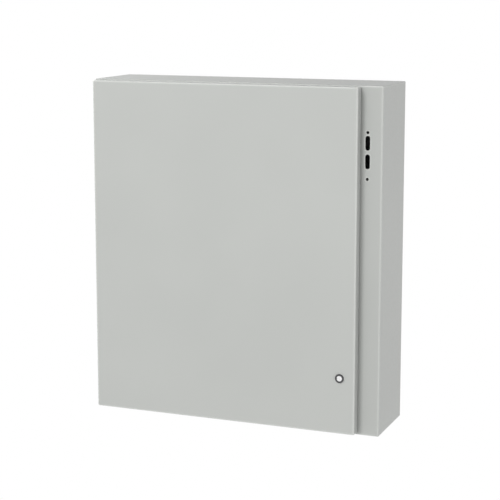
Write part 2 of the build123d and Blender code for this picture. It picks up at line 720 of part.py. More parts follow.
# ---------------------------------------------------------------- fixed contacts
def along_arm(distance, height, hand):
    """Point beside the closed arm, in shaft coordinates; hand is 1 for up and -1 for down."""
    tilt = radians(THROW)
    forward = distance * cos(tilt) - height * sin(tilt)
    up = distance * sin(tilt) + height * cos(tilt)
    return (forward, hand * up)


def source_contacts(hand):
    """Bent copper bar of each pole, from its terminal to the pad that the arm meets."""
    pad_foot = BAR_THICKNESS / 2 + PAD_THICKNESS + CONTACT_GAP
    bar_middle = pad_foot + PAD_THICKNESS + BAR_THICKNESS / 2
    fold = along_arm(ARM_LENGTH + 6, bar_middle, hand)
    heel = along_arm(PAD_START - 4, bar_middle, hand)
    terminal = SOURCE_BAR_DEPTH - SHAFT_DEPTH
    with BuildPart() as contacts:
        for pole in POLES:
            with BuildSketch(at_shaft(pole)):
                with BuildLine():
                    FilletPolyline(
                        (terminal, hand * SOURCE_BAR_END),
                        (terminal, hand * SOURCE_BAR_STEP),
                        (fold[0], hand * SOURCE_BAR_STEP),
                        fold,
                        heel,
                        radius=6,
                    )
                trace(line_width=BAR_THICKNESS)
            extrude(amount=BAR_WIDTH / 2, both=True)
            with BuildSketch(at_shaft(pole, hand * THROW)):
                with Locations((PAD_START + PAD_LENGTH / 2, hand * (pad_foot + PAD_THICKNESS / 2))):
                    Rectangle(PAD_LENGTH, PAD_THICKNESS)
            extrude(amount=BAR_WIDTH / 2, both=True)
    return contacts


normal_contacts = source_contacts(1)
save(normal_contacts, "normal_contacts")
emergency_contacts = source_contacts(-1)
save(emergency_contacts, "emergency_contacts")

with BuildPart() as load_conductors:
    saddle_inner = RING_RADIUS + SADDLE_GAP
    saddle_outer = saddle_inner + BAR_THICKNESS
    bar_back = LOAD_BAR_DEPTH - BAR_THICKNESS / 2 - SHAFT_DEPTH
    for pole in POLES:
        with BuildSketch(at_shaft(pole)):
            Circle(saddle_outer)
            Circle(saddle_inner, mode=Mode.SUBTRACT)
            with Locations((saddle_outer / 2, 0)):
                Rectangle(saddle_outer + 10, 3 * saddle_outer, mode=Mode.SUBTRACT)
            with Locations(((bar_back - saddle_inner - 2) / 2, 0)):
                Rectangle(-bar_back - saddle_inner - 2, 18)
            with Locations((bar_back + BAR_THICKNESS / 2, (LOAD_BAR_END + 14) / 2)):
                Rectangle(BAR_THICKNESS, 14 - LOAD_BAR_END)
        extrude(amount=BAR_WIDTH / 2, both=True)
save(load_conductors, "load_conductors")

# ---------------------------------------------------------------- lugs and their screws
SOURCE_LUG_BACK = SOURCE_BAR_DEPTH + BAR_THICKNESS / 2
LOAD_LUG_BACK = LOAD_BAR_DEPTH + BAR_THICKNESS / 2
LUG_ROWS = (
    (SHAFT_Z + SOURCE_LUG_Z, SOURCE_LUG_BACK),
    (SHAFT_Z - SOURCE_LUG_Z, SOURCE_LUG_BACK),
    (SHAFT_Z + LOAD_LUG_Z, LOAD_LUG_BACK),
)

with BuildPart() as cable_lugs:
    for row_z, lug_back in LUG_ROWS:
        with BuildSketch(front(lug_back, SHAFT_X, row_z)):
            with GridLocations(POLE_PITCH, 1, 3, 1):
                RectangleRounded(LUG_WIDTH, LUG_HEIGHT, 2)
        extrude(amount=LUG_THICKNESS)
        with BuildSketch(front(lug_back + LUG_BORE_OFFSET, SHAFT_X, row_z)):
            with GridLocations(POLE_PITCH, 1, 3, 1):
                Circle(SET_SCREW_RADIUS + WELD_GAP)
        extrude(amount=LUG_THICKNESS - LUG_BORE_OFFSET, mode=Mode.SUBTRACT)
        bore_foot = (SHAFT_X, -lug_back - LUG_BORE_OFFSET, row_z - LUG_HEIGHT / 2)
        with BuildSketch(Plane(origin=bore_foot, z_dir=(0, 0, 1))):
            with GridLocations(POLE_PITCH, 1, 3, 1):
                Circle(LUG_BORE)
        extrude(amount=LUG_HEIGHT, mode=Mode.SUBTRACT)
save(cable_lugs, "cable_lugs")

with BuildPart() as lug_set_screws:
    for row_z, lug_back in LUG_ROWS:
        lug_front = lug_back + LUG_THICKNESS
        screw_back = lug_back + LUG_BORE_OFFSET + LUG_BORE - 1
        with BuildSketch(front(screw_back, SHAFT_X, row_z)):
            with GridLocations(POLE_PITCH, 1, 3, 1):
                Circle(SET_SCREW_RADIUS)
        extrude(amount=lug_front + 1.5 - screw_back)
        with BuildSketch(front(lug_front - 2.5, SHAFT_X, row_z)):
            with GridLocations(POLE_PITCH, 1, 3, 1):
                RegularPolygon(4, 6, major_radius=False)
        extrude(amount=4, mode=Mode.SUBTRACT)
save(lug_set_screws, "lug_set_screws")

# ---------------------------------------------------------------- arc chutes
with BuildPart() as arc_chutes:
    with BuildSketch(front(CHUTE_BACK, SHAFT_X, SHAFT_Z)):
        with GridLocations(POLE_PITCH, 1, 3, 1):
            RectangleRounded(CHUTE_WIDTH, 2 * CHUTE_HALF_HEIGHT, 4)
    extrude(amount=CHUTE_FRONT - CHUTE_BACK)
    with BuildSketch(front(CHUTE_BACK, SHAFT_X, SHAFT_Z)):
        with GridLocations(POLE_PITCH, 1, 3, 1):
            Rectangle(CHUTE_WIDTH - 2 * CHUTE_WALL, 2 * (CHUTE_HALF_HEIGHT - CHUTE_WALL))
    extrude(amount=CHUTE_FRONT - CHUTE_BACK - CHUTE_WALL, mode=Mode.SUBTRACT)
    # Side cheeks that reach back on both sides of the arm.
    cheek_offset = (CHUTE_WIDTH - CHUTE_WALL) / 2
    for pole in POLES:
        with BuildSketch(front(CHUTE_BACK - 18, pole, SHAFT_Z)):
            with Locations((-cheek_offset, 0), (cheek_offset, 0)):
                Rectangle(CHUTE_WALL, 1.3 * CHUTE_HALF_HEIGHT)
        extrude(amount=18)
    # Ears that rest against the pole barriers.
    ear = (POLE_PITCH - BARRIER_THICKNESS - CHUTE_WIDTH) / 2
    for pole in POLES:
        ear_offset = (CHUTE_WIDTH + ear) / 2
        with BuildSketch(front(CHUTE_FRONT - 12, pole, SHAFT_Z)):
            with Locations((-ear_offset, 0), (ear_offset, 0)):
                Rectangle(ear, 24)
        extrude(amount=5)
    with BuildSketch(front(CHUTE_FRONT - CHUTE_WALL, SHAFT_X, SHAFT_Z)):
        with GridLocations(POLE_PITCH, 14, 3, CHUTE_VENTS):
            SlotOverall(44, 5)
    extrude(amount=CHUTE_WALL, mode=Mode.SUBTRACT)
save(arc_chutes, "arc_chutes")

with BuildPart() as arc_plates:
    plate_back = CHUTE_BACK + 1.5
    plate_depth = CHUTE_FRONT - CHUTE_WALL - 1 - plate_back
    for pole in POLES:
        lowest = SHAFT_Z - (ARC_PLATES - 1) / 2 * ARC_PLATE_PITCH
        for number in range(ARC_PLATES):
            height = lowest + number * ARC_PLATE_PITCH
            with BuildSketch(Plane(origin=(pole, -plate_back, height), z_dir=(0, 0, 1))):
                with Locations((0, -plate_depth / 2)):
                    Rectangle(CHUTE_WIDTH - 2 * CHUTE_WALL - 4, plate_depth)
                Circle(9, mode=Mode.SUBTRACT)
            extrude(amount=ARC_PLATE_THICKNESS / 2, both=True)
save(arc_plates, "arc_plates")

# ---------------------------------------------------------------- operator
with BuildPart() as shaft_crank:
    crank_face = CRANK_X + CRANK_THICKNESS
    with BuildSketch(at_shaft(crank_face, THROW)):
        Circle(15)
        with Locations((CRANK_RADIUS, 0)):
            Circle(9)
        with Locations((CRANK_RADIUS / 2, 0)):
            Rectangle(CRANK_RADIUS, 18)
        Circle(JOURNAL_RADIUS + RUNNING, mode=Mode.SUBTRACT)
    extrude(amount=CRANK_THICKNESS)
    pin_end = YOKE_X + YOKE_THICKNESS / 2 + 1
    with BuildSketch(at_shaft(pin_end, THROW)):
        with Locations((CRANK_RADIUS, 0)):
            Circle(CRANK_PIN_RADIUS)
    extrude(amount=pin_end - crank_face)
save(shaft_crank, "shaft_crank")

PIN_HEIGHT = CRANK_RADIUS * sin(radians(THROW))

with BuildPart() as solenoid_plunger:
    yoke_middle = PLUNGER_DEPTH - SHAFT_DEPTH
    with BuildSketch(at_shaft(YOKE_X)):
        with Locations((yoke_middle, PIN_HEIGHT)):
            RectangleRounded(28, 28, 5)
            SlotOverall(15, 2 * (CRANK_PIN_RADIUS + PLUNGER_GAP), mode=Mode.SUBTRACT)
    extrude(amount=YOKE_THICKNESS / 2, both=True)
    yoke_top = SHAFT_Z + PIN_HEIGHT + 13
    with BuildSketch(Plane(origin=(YOKE_X, -PLUNGER_DEPTH, yoke_top), z_dir=(0, 0, 1))):
        Circle(PLUNGER_RADIUS)
    extrude(amount=SHAFT_Z + PLUNGER_TOP - yoke_top)
save(solenoid_plunger, "solenoid_plunger")

with BuildPart() as solenoid_frame:
    frame_front = 2 * PLUNGER_DEPTH - SOLENOID_BACK
    frame_height = SOLENOID_TOP - SOLENOID_BOTTOM
    frame_middle = SHAFT_Z + (SOLENOID_TOP + SOLENOID_BOTTOM) / 2
    with BuildSketch(front(SOLENOID_BACK, YOKE_X, frame_middle)):
        Rectangle(SOLENOID_WIDTH, frame_height)
    extrude(amount=frame_front - SOLENOID_BACK)
    with BuildSketch(front(SOLENOID_BACK + SOLENOID_PLATE, YOKE_X, frame_middle)):
        Rectangle(SOLENOID_WIDTH, frame_height - 2 * SOLENOID_PLATE)
    extrude(amount=frame_front - SOLENOID_BACK - SOLENOID_PLATE, mode=Mode.SUBTRACT)
    # U-shaped bracket that carries the magnet frame on the panel.
    with BuildSketch(front(PANEL_FACE, YOKE_X, frame_middle)):
        Rectangle(SOLENOID_WIDTH, frame_height)
    extrude(amount=SOLENOID_BACK - PANEL_FACE)
    with BuildSketch(front(PANEL_FACE + BEARING_SHEET, YOKE_X, frame_middle)):
        Rectangle(SOLENOID_WIDTH - 2 * BEARING_SHEET, frame_height)
    extrude(amount=SOLENOID_BACK - PANEL_FACE - BEARING_SHEET, mode=Mode.SUBTRACT)
    frame_foot = SHAFT_Z + SOLENOID_BOTTOM
    with BuildSketch(Plane(origin=(YOKE_X, -PLUNGER_DEPTH, frame_foot), z_dir=(0, 0, 1))):
        Circle(PLUNGER_RADIUS + PLUNGER_GAP)
    extrude(amount=frame_height, mode=Mode.SUBTRACT)
    with BuildSketch(front(PANEL_FACE)):
        with Locations(*[(x, z) for x, z, _ in SOLENOID_SCREWS]):
            Circle(SCREW_RADIUS + SCREW_CLEARANCE)
    extrude(amount=BEARING_SHEET, mode=Mode.SUBTRACT)
save(solenoid_frame, "solenoid_frame")

with BuildPart() as solenoid_coil:
    coil_bottom = SHAFT_Z + SOLENOID_BOTTOM + SOLENOID_PLATE
    coil_height = frame_height - 2 * SOLENOID_PLATE
    coil_base = Plane(origin=(YOKE_X, -PLUNGER_DEPTH, coil_bottom), z_dir=(0, 0, 1))
    with BuildSketch(coil_base):
        Circle(COIL_RADIUS)
    extrude(amount=coil_height)
    with BuildSketch(coil_base, coil_base.offset(coil_height - 2)):
        RectangleRounded(2 * COIL_RADIUS, 2 * COIL_RADIUS, 4)
    extrude(amount=2)
    with BuildSketch(coil_base):
        Circle(PLUNGER_RADIUS + 1.5)
    extrude(amount=coil_height, mode=Mode.SUBTRACT)
save(solenoid_coil, "solenoid_coil")


def handle_plane(distance):
    """Plane across the maintenance handle, this far from the shaft's axis."""
    forward, up = along_arm(distance, 0, 1)
    tilt = radians(THROW)
    return Plane(
        origin=(HANDLE_X - 6, -SHAFT_DEPTH - forward, SHAFT_Z + up),
        x_dir=(1, 0, 0),
        z_dir=(0, -cos(tilt), sin(tilt)),
    )


with BuildPart() as manual_handle:
    with BuildSketch(at_shaft(HANDLE_X, THROW)):
        Circle(HANDLE_HUB)
    extrude(amount=12)
    with BuildSketch(handle_plane(HANDLE_HUB - 3)):
        Circle(HANDLE_ROD)
    extrude(amount=GRIP_START + 24 - HANDLE_HUB + 3)
    with BuildSketch(at_shaft(HANDLE_X, THROW)):
        Circle(JOURNAL_RADIUS + RUNNING)
    extrude(amount=12, mode=Mode.SUBTRACT)
save(manual_handle, "manual_handle")

with BuildPart() as handle_grip:
    with BuildSketch(handle_plane(GRIP_START)):
        Circle(GRIP_RADIUS)
    extrude(amount=GRIP_END - GRIP_START)
    fillet(handle_grip.edges().filter_by(GeomType.CIRCLE), 3)
    with BuildSketch(handle_plane(GRIP_START)):
        Circle(HANDLE_ROD + RUNNING)
    extrude(amount=24 + WELD_GAP, mode=Mode.SUBTRACT)
save(handle_grip, "handle_grip")

with BuildPart() as aux_switch:
    with BuildSketch(front(PANEL_FACE, (AUX_LEFT + AUX_RIGHT) / 2, SHAFT_Z)):
        RectangleRounded(AUX_RIGHT - AUX_LEFT, 2 * AUX_HALF_HEIGHT, 2)
    extrude(amount=AUX_FRONT - PANEL_FACE)
    with BuildSketch(at_shaft(AUX_RIGHT - 5)):
        Circle(JOURNAL_RADIUS + 2 * RUNNING)
    extrude(amount=AUX_RIGHT - AUX_LEFT, mode=Mode.SUBTRACT)
    with BuildSketch(front(AUX_FRONT, (AUX_LEFT + AUX_RIGHT) / 2, SHAFT_Z)):
        with GridLocations(16, 15, 2, 5):
            RectangleRounded(11, 10, 1)
    extrude(amount=5)
save(aux_switch, "aux_switch")

# ---------------------------------------------------------------- controller
with BuildPart() as controller_housing:
    with BuildSketch(front(CONTROLLER_BACK, CONTROLLER_X, CONTROLLER_Z)):
        RectangleRounded(CONTROLLER_WIDTH, CONTROLLER_HEIGHT, CONTROLLER_CORNER)
    extrude(amount=CONTROLLER_FRONT - CONTROLLER_BACK)
    offset(amount=-CONTROLLER_WALL, openings=controller_housing.faces().sort_by(Axis.Y)[0])
    with BuildSketch(front(PANEL_FACE, CONTROLLER_X, CONTROLLER_Z)):
        with GridLocations(CONTROLLER_WIDTH - 30, CONTROLLER_HEIGHT - 30, 2, 2):
            Circle(7)
    extrude(amount=CONTROLLER_BACK - PANEL_FACE)
save(controller_housing, "controller_housing")

with BuildPart() as controller_faceplate:
    with BuildSketch(front(CONTROLLER_FRONT, CONTROLLER_X, CONTROLLER_Z)):
        RectangleRounded(CONTROLLER_WIDTH, CONTROLLER_HEIGHT, CONTROLLER_CORNER)
    extrude(amount=FACEPLATE)
    chamfer(controller_faceplate.faces().sort_by(Axis.Y)[0].edges(), 1)
    with BuildSketch(front(CONTROLLER_FRONT)):
        with Locations((DISPLAY_X, DISPLAY_Z)):
            RectangleRounded(DISPLAY_WIDTH, DISPLAY_HEIGHT, 2)
        with Locations(*[(x, KEY_Z) for x in KEY_X.values()]):
            RectangleRounded(KEY_WIDTH + 2 * KEY_GAP, KEY_HEIGHT + 2 * KEY_GAP, 3 + KEY_GAP)
        with Locations((KNOB_X, KEY_Z)):
            Circle(KNOB_SHAFT_RADIUS + RUNNING)
        with Locations(*[(x, LAMP_Z) for x in LAMPS]):
            Circle(LAMP_RADIUS + WELD_GAP)
    extrude(amount=FACEPLATE, mode=Mode.SUBTRACT)
save(controller_faceplate, "controller_faceplate")

with BuildPart() as display_lens:
    with BuildSketch(front(CONTROLLER_FRONT - 4, DISPLAY_X, DISPLAY_Z)):
        RectangleRounded(DISPLAY_WIDTH - 0.4, DISPLAY_HEIGHT - 0.4, 1.8)
    extrude(amount=FACEPLATE + 3.2)
save(display_lens, "display_lens")

with BuildPart() as lamp_lenses:
    with BuildSketch(front(CONTROLLER_FRONT - 2)):
        with Locations(*[(x, LAMP_Z) for x in LAMPS]):
            Circle(LAMP_RADIUS)
    extrude(amount=FACEPLATE + 4)
    fillet(lamp_lenses.faces().filter_by(Axis.Y).group_by(Axis.Y)[0].edges(), 1.8)
save(lamp_lenses, "lamp_lenses")


def controller_key(x):
    """Push key: a cap through the faceplate and a wider flange behind it."""
    flange_front = CONTROLLER_FRONT - CONTACT_GAP
    with BuildPart() as key:
        with BuildSketch(front(flange_front - 1.7, x, KEY_Z)):
            RectangleRounded(KEY_WIDTH + 4, KEY_HEIGHT + 4, 3)
        extrude(amount=1.7)
        with BuildSketch(front(flange_front, x, KEY_Z)):
            RectangleRounded(KEY_WIDTH, KEY_HEIGHT, 3)
        extrude(amount=KEY_FRONT - flange_front)
        fillet(key.faces().sort_by(Axis.Y)[0].edges(), 0.8)
    return key


for key_name, key_x in KEY_X.items():
    save(controller_key(key_x), key_name)

with BuildPart() as selector_knob:
    with BuildSketch(front(KNOB_BACK, KNOB_X, KEY_Z)):
        Circle(KNOB_RADIUS)
        with PolarLocations(KNOB_RADIUS + 1, KNOB_FLUTES, start_angle=90 + 180 / KNOB_FLUTES):
            Circle(2, mode=Mode.SUBTRACT)
    extrude(amount=KNOB_FRONT - KNOB_BACK)
    chamfer(selector_knob.faces().sort_by(Axis.Y)[0].edges(), 0.6)
    with BuildSketch(front(KNOB_FRONT, KNOB_X, KEY_Z)):
        with Locations((0, KNOB_RADIUS / 2 - 1)):
            Rectangle(2, KNOB_RADIUS - 4)
    extrude(amount=-1, mode=Mode.SUBTRACT)
    with BuildSketch(front(CONTROLLER_FRONT - 8, KNOB_X, KEY_Z)):
        Circle(KNOB_SHAFT_RADIUS)
    extrude(amount=KNOB_BACK - CONTROLLER_FRONT + 8)
save(selector_knob, "selector_knob")

# ---------------------------------------------------------------- control transformers
with BuildPart() as transformer_cores:
    for x in TRANSFORMER_X:
        with BuildSketch(front(CORE_BACK, x, TRANSFORMER_Z)):
            Rectangle(CORE_WIDTH, CORE_HEIGHT)
            window_offset = (CORE_LEG + CORE_WINDOW_WIDTH) / 2
            with Locations((-window_offset, 0), (window_offset, 0)):
                Rectangle(CORE_WINDOW_WIDTH, CORE_WINDOW_HEIGHT, mode=Mode.SUBTRACT)
        extrude(amount=CORE_FRONT - CORE_BACK)
        with BuildSketch(front(PANEL_FACE, x, TRANSFORMER_Z)):
            with GridLocations(CORE_WIDTH - 10, CORE_HEIGHT - 10, 2, 2):
                Circle(4.5)
        extrude(amount=CORE_BACK - PANEL_FACE)
save(transformer_cores, "transformer_cores")

with BuildPart() as transformer_coils:
    coil_gap = 0.3
    coil_width = CORE_LEG + 2 * CORE_WINDOW_WIDTH - 2 * coil_gap
    coil_height = CORE_WINDOW_HEIGHT - 2 * coil_gap
    for x in TRANSFORMER_X:
        with BuildSketch(front(CORE_BACK - COIL_OVERHANG, x, TRANSFORMER_Z)):
            RectangleRounded(coil_width, coil_height, 3)
        extrude(amount=CORE_FRONT - CORE_BACK + 2 * COIL_OVERHANG)
        with BuildSketch(front(CORE_BACK - coil_gap, x, TRANSFORMER_Z)):
            Rectangle(CORE_LEG + 2 * coil_gap, coil_height)
        extrude(amount=CORE_FRONT - CORE_BACK + 2 * coil_gap, mode=Mode.SUBTRACT)
save(transformer_coils, "transformer_coils")

# ---------------------------------------------------------------- DIN rail and devices
with BuildPart() as din_rail:
    web_middle = PANEL_FACE + 0.5
    rim_middle = PANEL_FACE + RAIL_DEPTH - 0.5
    with BuildSketch(side(RAIL_RIGHT, 0, RAIL_Z)):
        with BuildLine():
            Polyline(
                (rim_middle, -RAIL_HEIGHT / 2),
                (rim_middle, -13),
                (web_middle, -13),
                (web_middle, 13),
                (rim_middle, 13),
                (rim_middle, RAIL_HEIGHT / 2),
            )
        trace(line_width=1)
    extrude(amount=RAIL_RIGHT - RAIL_LEFT)
    add(drill(RAIL_SCREWS), mode=Mode.SUBTRACT)
save(din_rail, "din_rail")

with BuildPart() as control_breakers:
    shoulder = BREAKER_NOSE - 20
    for x in BREAKER_X.values():
        with BuildSketch(front(RAIL_FACE, x, RAIL_Z)):
            Rectangle(BREAKER_WIDTH, 2 * BREAKER_HALF_HEIGHT)
        extrude(amount=shoulder - RAIL_FACE)
        with BuildSketch(front(shoulder, x, RAIL_Z)):
            Rectangle(BREAKER_WIDTH, BREAKER_HALF_HEIGHT + 3)
        extrude(amount=BREAKER_NOSE - shoulder)
        with BuildSketch(side(x, TOGGLE_DEPTH, RAIL_Z)):
            Circle(TOGGLE_RADIUS + 0.4)
        extrude(amount=TOGGLE_WIDTH / 2 + 0.4, both=True, mode=Mode.SUBTRACT)
        # Terminal screw wells, two above and two below the nose.
        with BuildSketch(front(shoulder - 6, x, RAIL_Z)):
            with GridLocations(BREAKER_WIDTH / 2, 66, 2, 2):
                Circle(4)
        extrude(amount=6, mode=Mode.SUBTRACT)
save(control_breakers, "control_breakers")


def breaker_toggle(x):
    """Rocking toggle of one breaker, drawn in its raised position."""
    with BuildPart() as toggle:
        with BuildSketch(side(x, TOGGLE_DEPTH, RAIL_Z, TOGGLE_TILT)):
            Circle(TOGGLE_RADIUS)
            with Locations((TOGGLE_LENGTH / 2, 0)):
                RectangleRounded(TOGGLE_LENGTH, 6, 2)
        extrude(amount=TOGGLE_WIDTH / 2, both=True)
    return toggle


for toggle_name, toggle_x in BREAKER_X.items():
    save(breaker_toggle(toggle_x), toggle_name)

with BuildPart() as relay_sockets:
    for x in RELAY_X:
        with BuildSketch(front(RAIL_FACE, x, RAIL_Z)):
            RectangleRounded(RELAY_WIDTH, 78, 2)
        extrude(amount=16)
        with BuildSketch(front(RAIL_FACE + 16, x, RAIL_Z)):
            Rectangle(RELAY_WIDTH, 46)
        extrude(amount=10)
        with BuildSketch(front(RAIL_FACE + 12, x, RAIL_Z)):
            with GridLocations(9, 64, 3, 2):
                Circle(2.8)
        extrude(amount=4, mode=Mode.SUBTRACT)
save(relay_sockets, "relay_sockets")

with BuildPart() as relay_covers:
    for x in RELAY_X:
        with BuildSketch(front(RAIL_FACE + 26, x, RAIL_Z)):
            RectangleRounded(RELAY_WIDTH - 3, 36, 2)
        extrude(amount=38)
    fillet(relay_covers.faces().filter_by(Axis.Y).group_by(Axis.Y)[0].edges(), 1)
save(relay_covers, "relay_covers")

with BuildPart() as terminal_strip:
    lower_half = [(0, -25), (24, -25), (30, -14), (38, -9)]
    upper_half = [(depth, -height) for depth, height in reversed(lower_half)]
    terminal_profile = lower_half + upper_half
    for number in range(TERMINALS):
        x = TERMINAL_FIRST_X + number * TERMINAL_PITCH
        with BuildSketch(side(x, RAIL_FACE, RAIL_Z)):
            with BuildLine():
                Polyline(*terminal_profile, close=True)
            make_face()
        extrude(amount=TERMINAL_WIDTH / 2, both=True)
        with BuildSketch(front(RAIL_FACE + 18, x, RAIL_Z)):
            with Locations((0, -19.5), (0, 19.5)):
                Circle(2.4)
        extrude(amount=14, mode=Mode.SUBTRACT)
save(terminal_strip, "terminal_strip")


# ---------------------------------------------------------------- slotted wiring duct
def duct_slots(length):
    """Middles of the finger slots along one duct, measured from its centre."""
    count = int(length / DUCT_PITCH)
    return [(step - (count - 1) / 2) * DUCT_PITCH for step in range(count)]


UPRIGHT_DUCT_Z = UPRIGHT_DUCT_BOTTOM + UPRIGHT_DUCT_LENGTH / 2
LEVEL_DUCT_X = LEVEL_DUCT_LEFT + LEVEL_DUCT_LENGTH / 2
DUCT_FRONT = PANEL_FACE + DUCT_DEPTH

with BuildPart() as wire_ducts:
    duct_plans = (
        (UPRIGHT_DUCT_X, UPRIGHT_DUCT_Z, DUCT_WIDTH, UPRIGHT_DUCT_LENGTH),
        (LEVEL_DUCT_X, LEVEL_DUCT_Z, LEVEL_DUCT_LENGTH, DUCT_WIDTH),
    )
    for x, z, width, height in duct_plans:
        with BuildSketch(front(PANEL_FACE, x, z)):
            Rectangle(width, height)
        extrude(amount=DUCT_DEPTH)
        upright = height > width
        inner_width = width - 2 * DUCT_WALL if upright else width
        inner_height = height if upright else height - 2 * DUCT_WALL
        with BuildSketch(front(PANEL_FACE + DUCT_WALL, x, z)):
            Rectangle(inner_width, inner_height)
        extrude(amount=DUCT_DEPTH - DUCT_WALL, mode=Mode.SUBTRACT)
    slot_back = DUCT_FRONT - DUCT_SLOT_DEPTH
    with BuildSketch(front(slot_back)):
        upright_slots = duct_slots(UPRIGHT_DUCT_LENGTH)
        with Locations(*[(UPRIGHT_DUCT_X, UPRIGHT_DUCT_Z + z) for z in upright_slots]):
            Rectangle(DUCT_WIDTH + 2, DUCT_SLOT)
        level_slots = duct_slots(LEVEL_DUCT_LENGTH)
        with Locations(*[(LEVEL_DUCT_X + x, LEVEL_DUCT_Z) for x in level_slots]):
            Rectangle(DUCT_SLOT, DUCT_WIDTH + 2)
    extrude(amount=DUCT_SLOT_DEPTH - 2, mode=Mode.SUBTRACT)
    add(drill(UPRIGHT_DUCT_SCREWS + LEVEL_DUCT_SCREWS), mode=Mode.SUBTRACT)
save(wire_ducts, "wire_ducts")

with BuildPart() as duct_covers:
    for x, z, width, height in duct_plans:
        with BuildSketch(front(DUCT_FRONT, x, z)):
            Rectangle(width, height)
        extrude(amount=COVER_THICKNESS)
        upright = height > width
        lip_inset = DUCT_WALL + 0.3 + COVER_THICKNESS / 2
        lip_reach = DUCT_WIDTH / 2 - lip_inset
        lip_width = COVER_THICKNESS if upright else width
        lip_height = height if upright else COVER_THICKNESS
        lip_places = [(hand * lip_reach, 0) if upright else (0, hand * lip_reach) for hand in (-1, 1)]
        with BuildSketch(front(DUCT_FRONT - 4, x, z)):
            with Locations(*lip_places):
                Rectangle(lip_width, lip_height)
        extrude(amount=4)
save(duct_covers, "duct_covers")


# ---------------------------------------------------------------- ground and neutral bars
def bar_hole_places(middle, holes):
    """X positions of the wire holes along a terminal bar."""
    return [middle + (step - (holes - 1) / 2) * BAR_HOLE_PITCH for step in range(holes)]


def terminal_bar(middle, length, back, face, holes):
    """Bar with wire holes through its height and a tapped screw hole in front of each."""
    places = bar_hole_places(middle, holes)
    wire_depth = (back + face) / 2
    with BuildPart() as bar:
        with BuildSketch(front(back, middle, BAR_Z)):
            RectangleRounded(length, BAR_HEIGHT, 1)
        extrude(amount=face - back)
        with BuildSketch(Plane(origin=(0, -wire_depth, BAR_Z - BAR_HEIGHT / 2), z_dir=(0, 0, 1))):
            with Locations(*[(x, 0) for x in places]):
                Circle(BAR_HOLE_RADIUS)
        extrude(amount=BAR_HEIGHT, mode=Mode.SUBTRACT)
        with BuildSketch(front(wire_depth)):
            with Locations(*[(x, BAR_Z) for x in places]):
                Circle(BAR_HOLE_RADIUS)
        extrude(amount=face - wire_depth, mode=Mode.SUBTRACT)
    return bar


ground_bar_blank = terminal_bar(
    GROUND_BAR_X,
    GROUND_BAR_LENGTH,
    GROUND_BAR_BACK,
    GROUND_BAR_FRONT,
    GROUND_HOLES,
)

with BuildPart() as ground_bar:
    add(ground_bar_blank.part)
    with BuildSketch(front(PANEL_FACE)):
        with Locations(*[(x, z) for x, z, _ in GROUND_BAR_SCREWS]):
            Circle(BAR_HEIGHT / 2 - 3)
    extrude(amount=GROUND_BAR_BACK - PANEL_FACE)
    add(drill(GROUND_BAR_SCREWS), mode=Mode.SUBTRACT)
save(ground_bar, "ground_bar")

neutral_bar = terminal_bar(
    NEUTRAL_BAR_X,
    NEUTRAL_BAR_LENGTH,
    NEUTRAL_BAR_BACK,
    NEUTRAL_BAR_FRONT,
    NEUTRAL_HOLES,
)
save(neutral_bar, "neutral_bar")

with BuildPart() as neutral_insulators:
    insulator_span = NEUTRAL_BAR_LENGTH - 40
    with BuildSketch(front(PANEL_FACE, NEUTRAL_BAR_X, BAR_Z)):
        with GridLocations(insulator_span, 1, 2, 1):
            Circle(INSULATOR_RADIUS - 3)
    extrude(amount=NEUTRAL_BAR_BACK - PANEL_FACE)
    for rib in range(4):
        with BuildSketch(front(PANEL_FACE + rib * 8, NEUTRAL_BAR_X, BAR_Z)):
            with GridLocations(insulator_span, 1, 2, 1):
                Circle(INSULATOR_RADIUS)
        extrude(amount=5)
save(neutral_insulators, "neutral_insulators")

with BuildPart() as bar_screws:
    screw_rows = (
        (bar_hole_places(GROUND_BAR_X, GROUND_HOLES), GROUND_BAR_FRONT),
        (bar_hole_places(NEUTRAL_BAR_X, NEUTRAL_HOLES), NEUTRAL_BAR_FRONT),
    )
    for places, face in screw_rows:
        with BuildSketch(front(face - 3)):
            with Locations(*[(x, BAR_Z) for x in places]):
                Circle(BAR_HOLE_RADIUS - WELD_GAP)
        extrude(amount=3)
        with BuildSketch(front(face)):
            with Locations(*[(x, BAR_Z) for x in places]):
                Circle(4.5)
        extrude(amount=3)
        with BuildSketch(front(face + 1.8)):
            with Locations(*[(x, BAR_Z) for x in places]):
                Rectangle(10, 1.2)
        extrude(amount=1.2, mode=Mode.SUBTRACT)
save(bar_screws, "bar_screws")

# ---------------------------------------------------------------- panel screws
with BuildPart() as panel_screws:
    for x, z, seat in PANEL_SCREWS:
        with BuildSketch(front(SCREW_TIP, x, z)):
            Circle(SCREW_RADIUS)
        extrude(amount=seat - SCREW_TIP)
        with BuildSketch(front(seat, x, z)):
            RegularPolygon(SCREW_HEAD_FLATS / 2, 6, major_radius=False)
        extrude(amount=SCREW_HEAD_HEIGHT)
save(panel_screws, "panel_screws")
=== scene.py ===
import json
import math

import bmesh
import bpy
from mathutils import Matrix, Vector

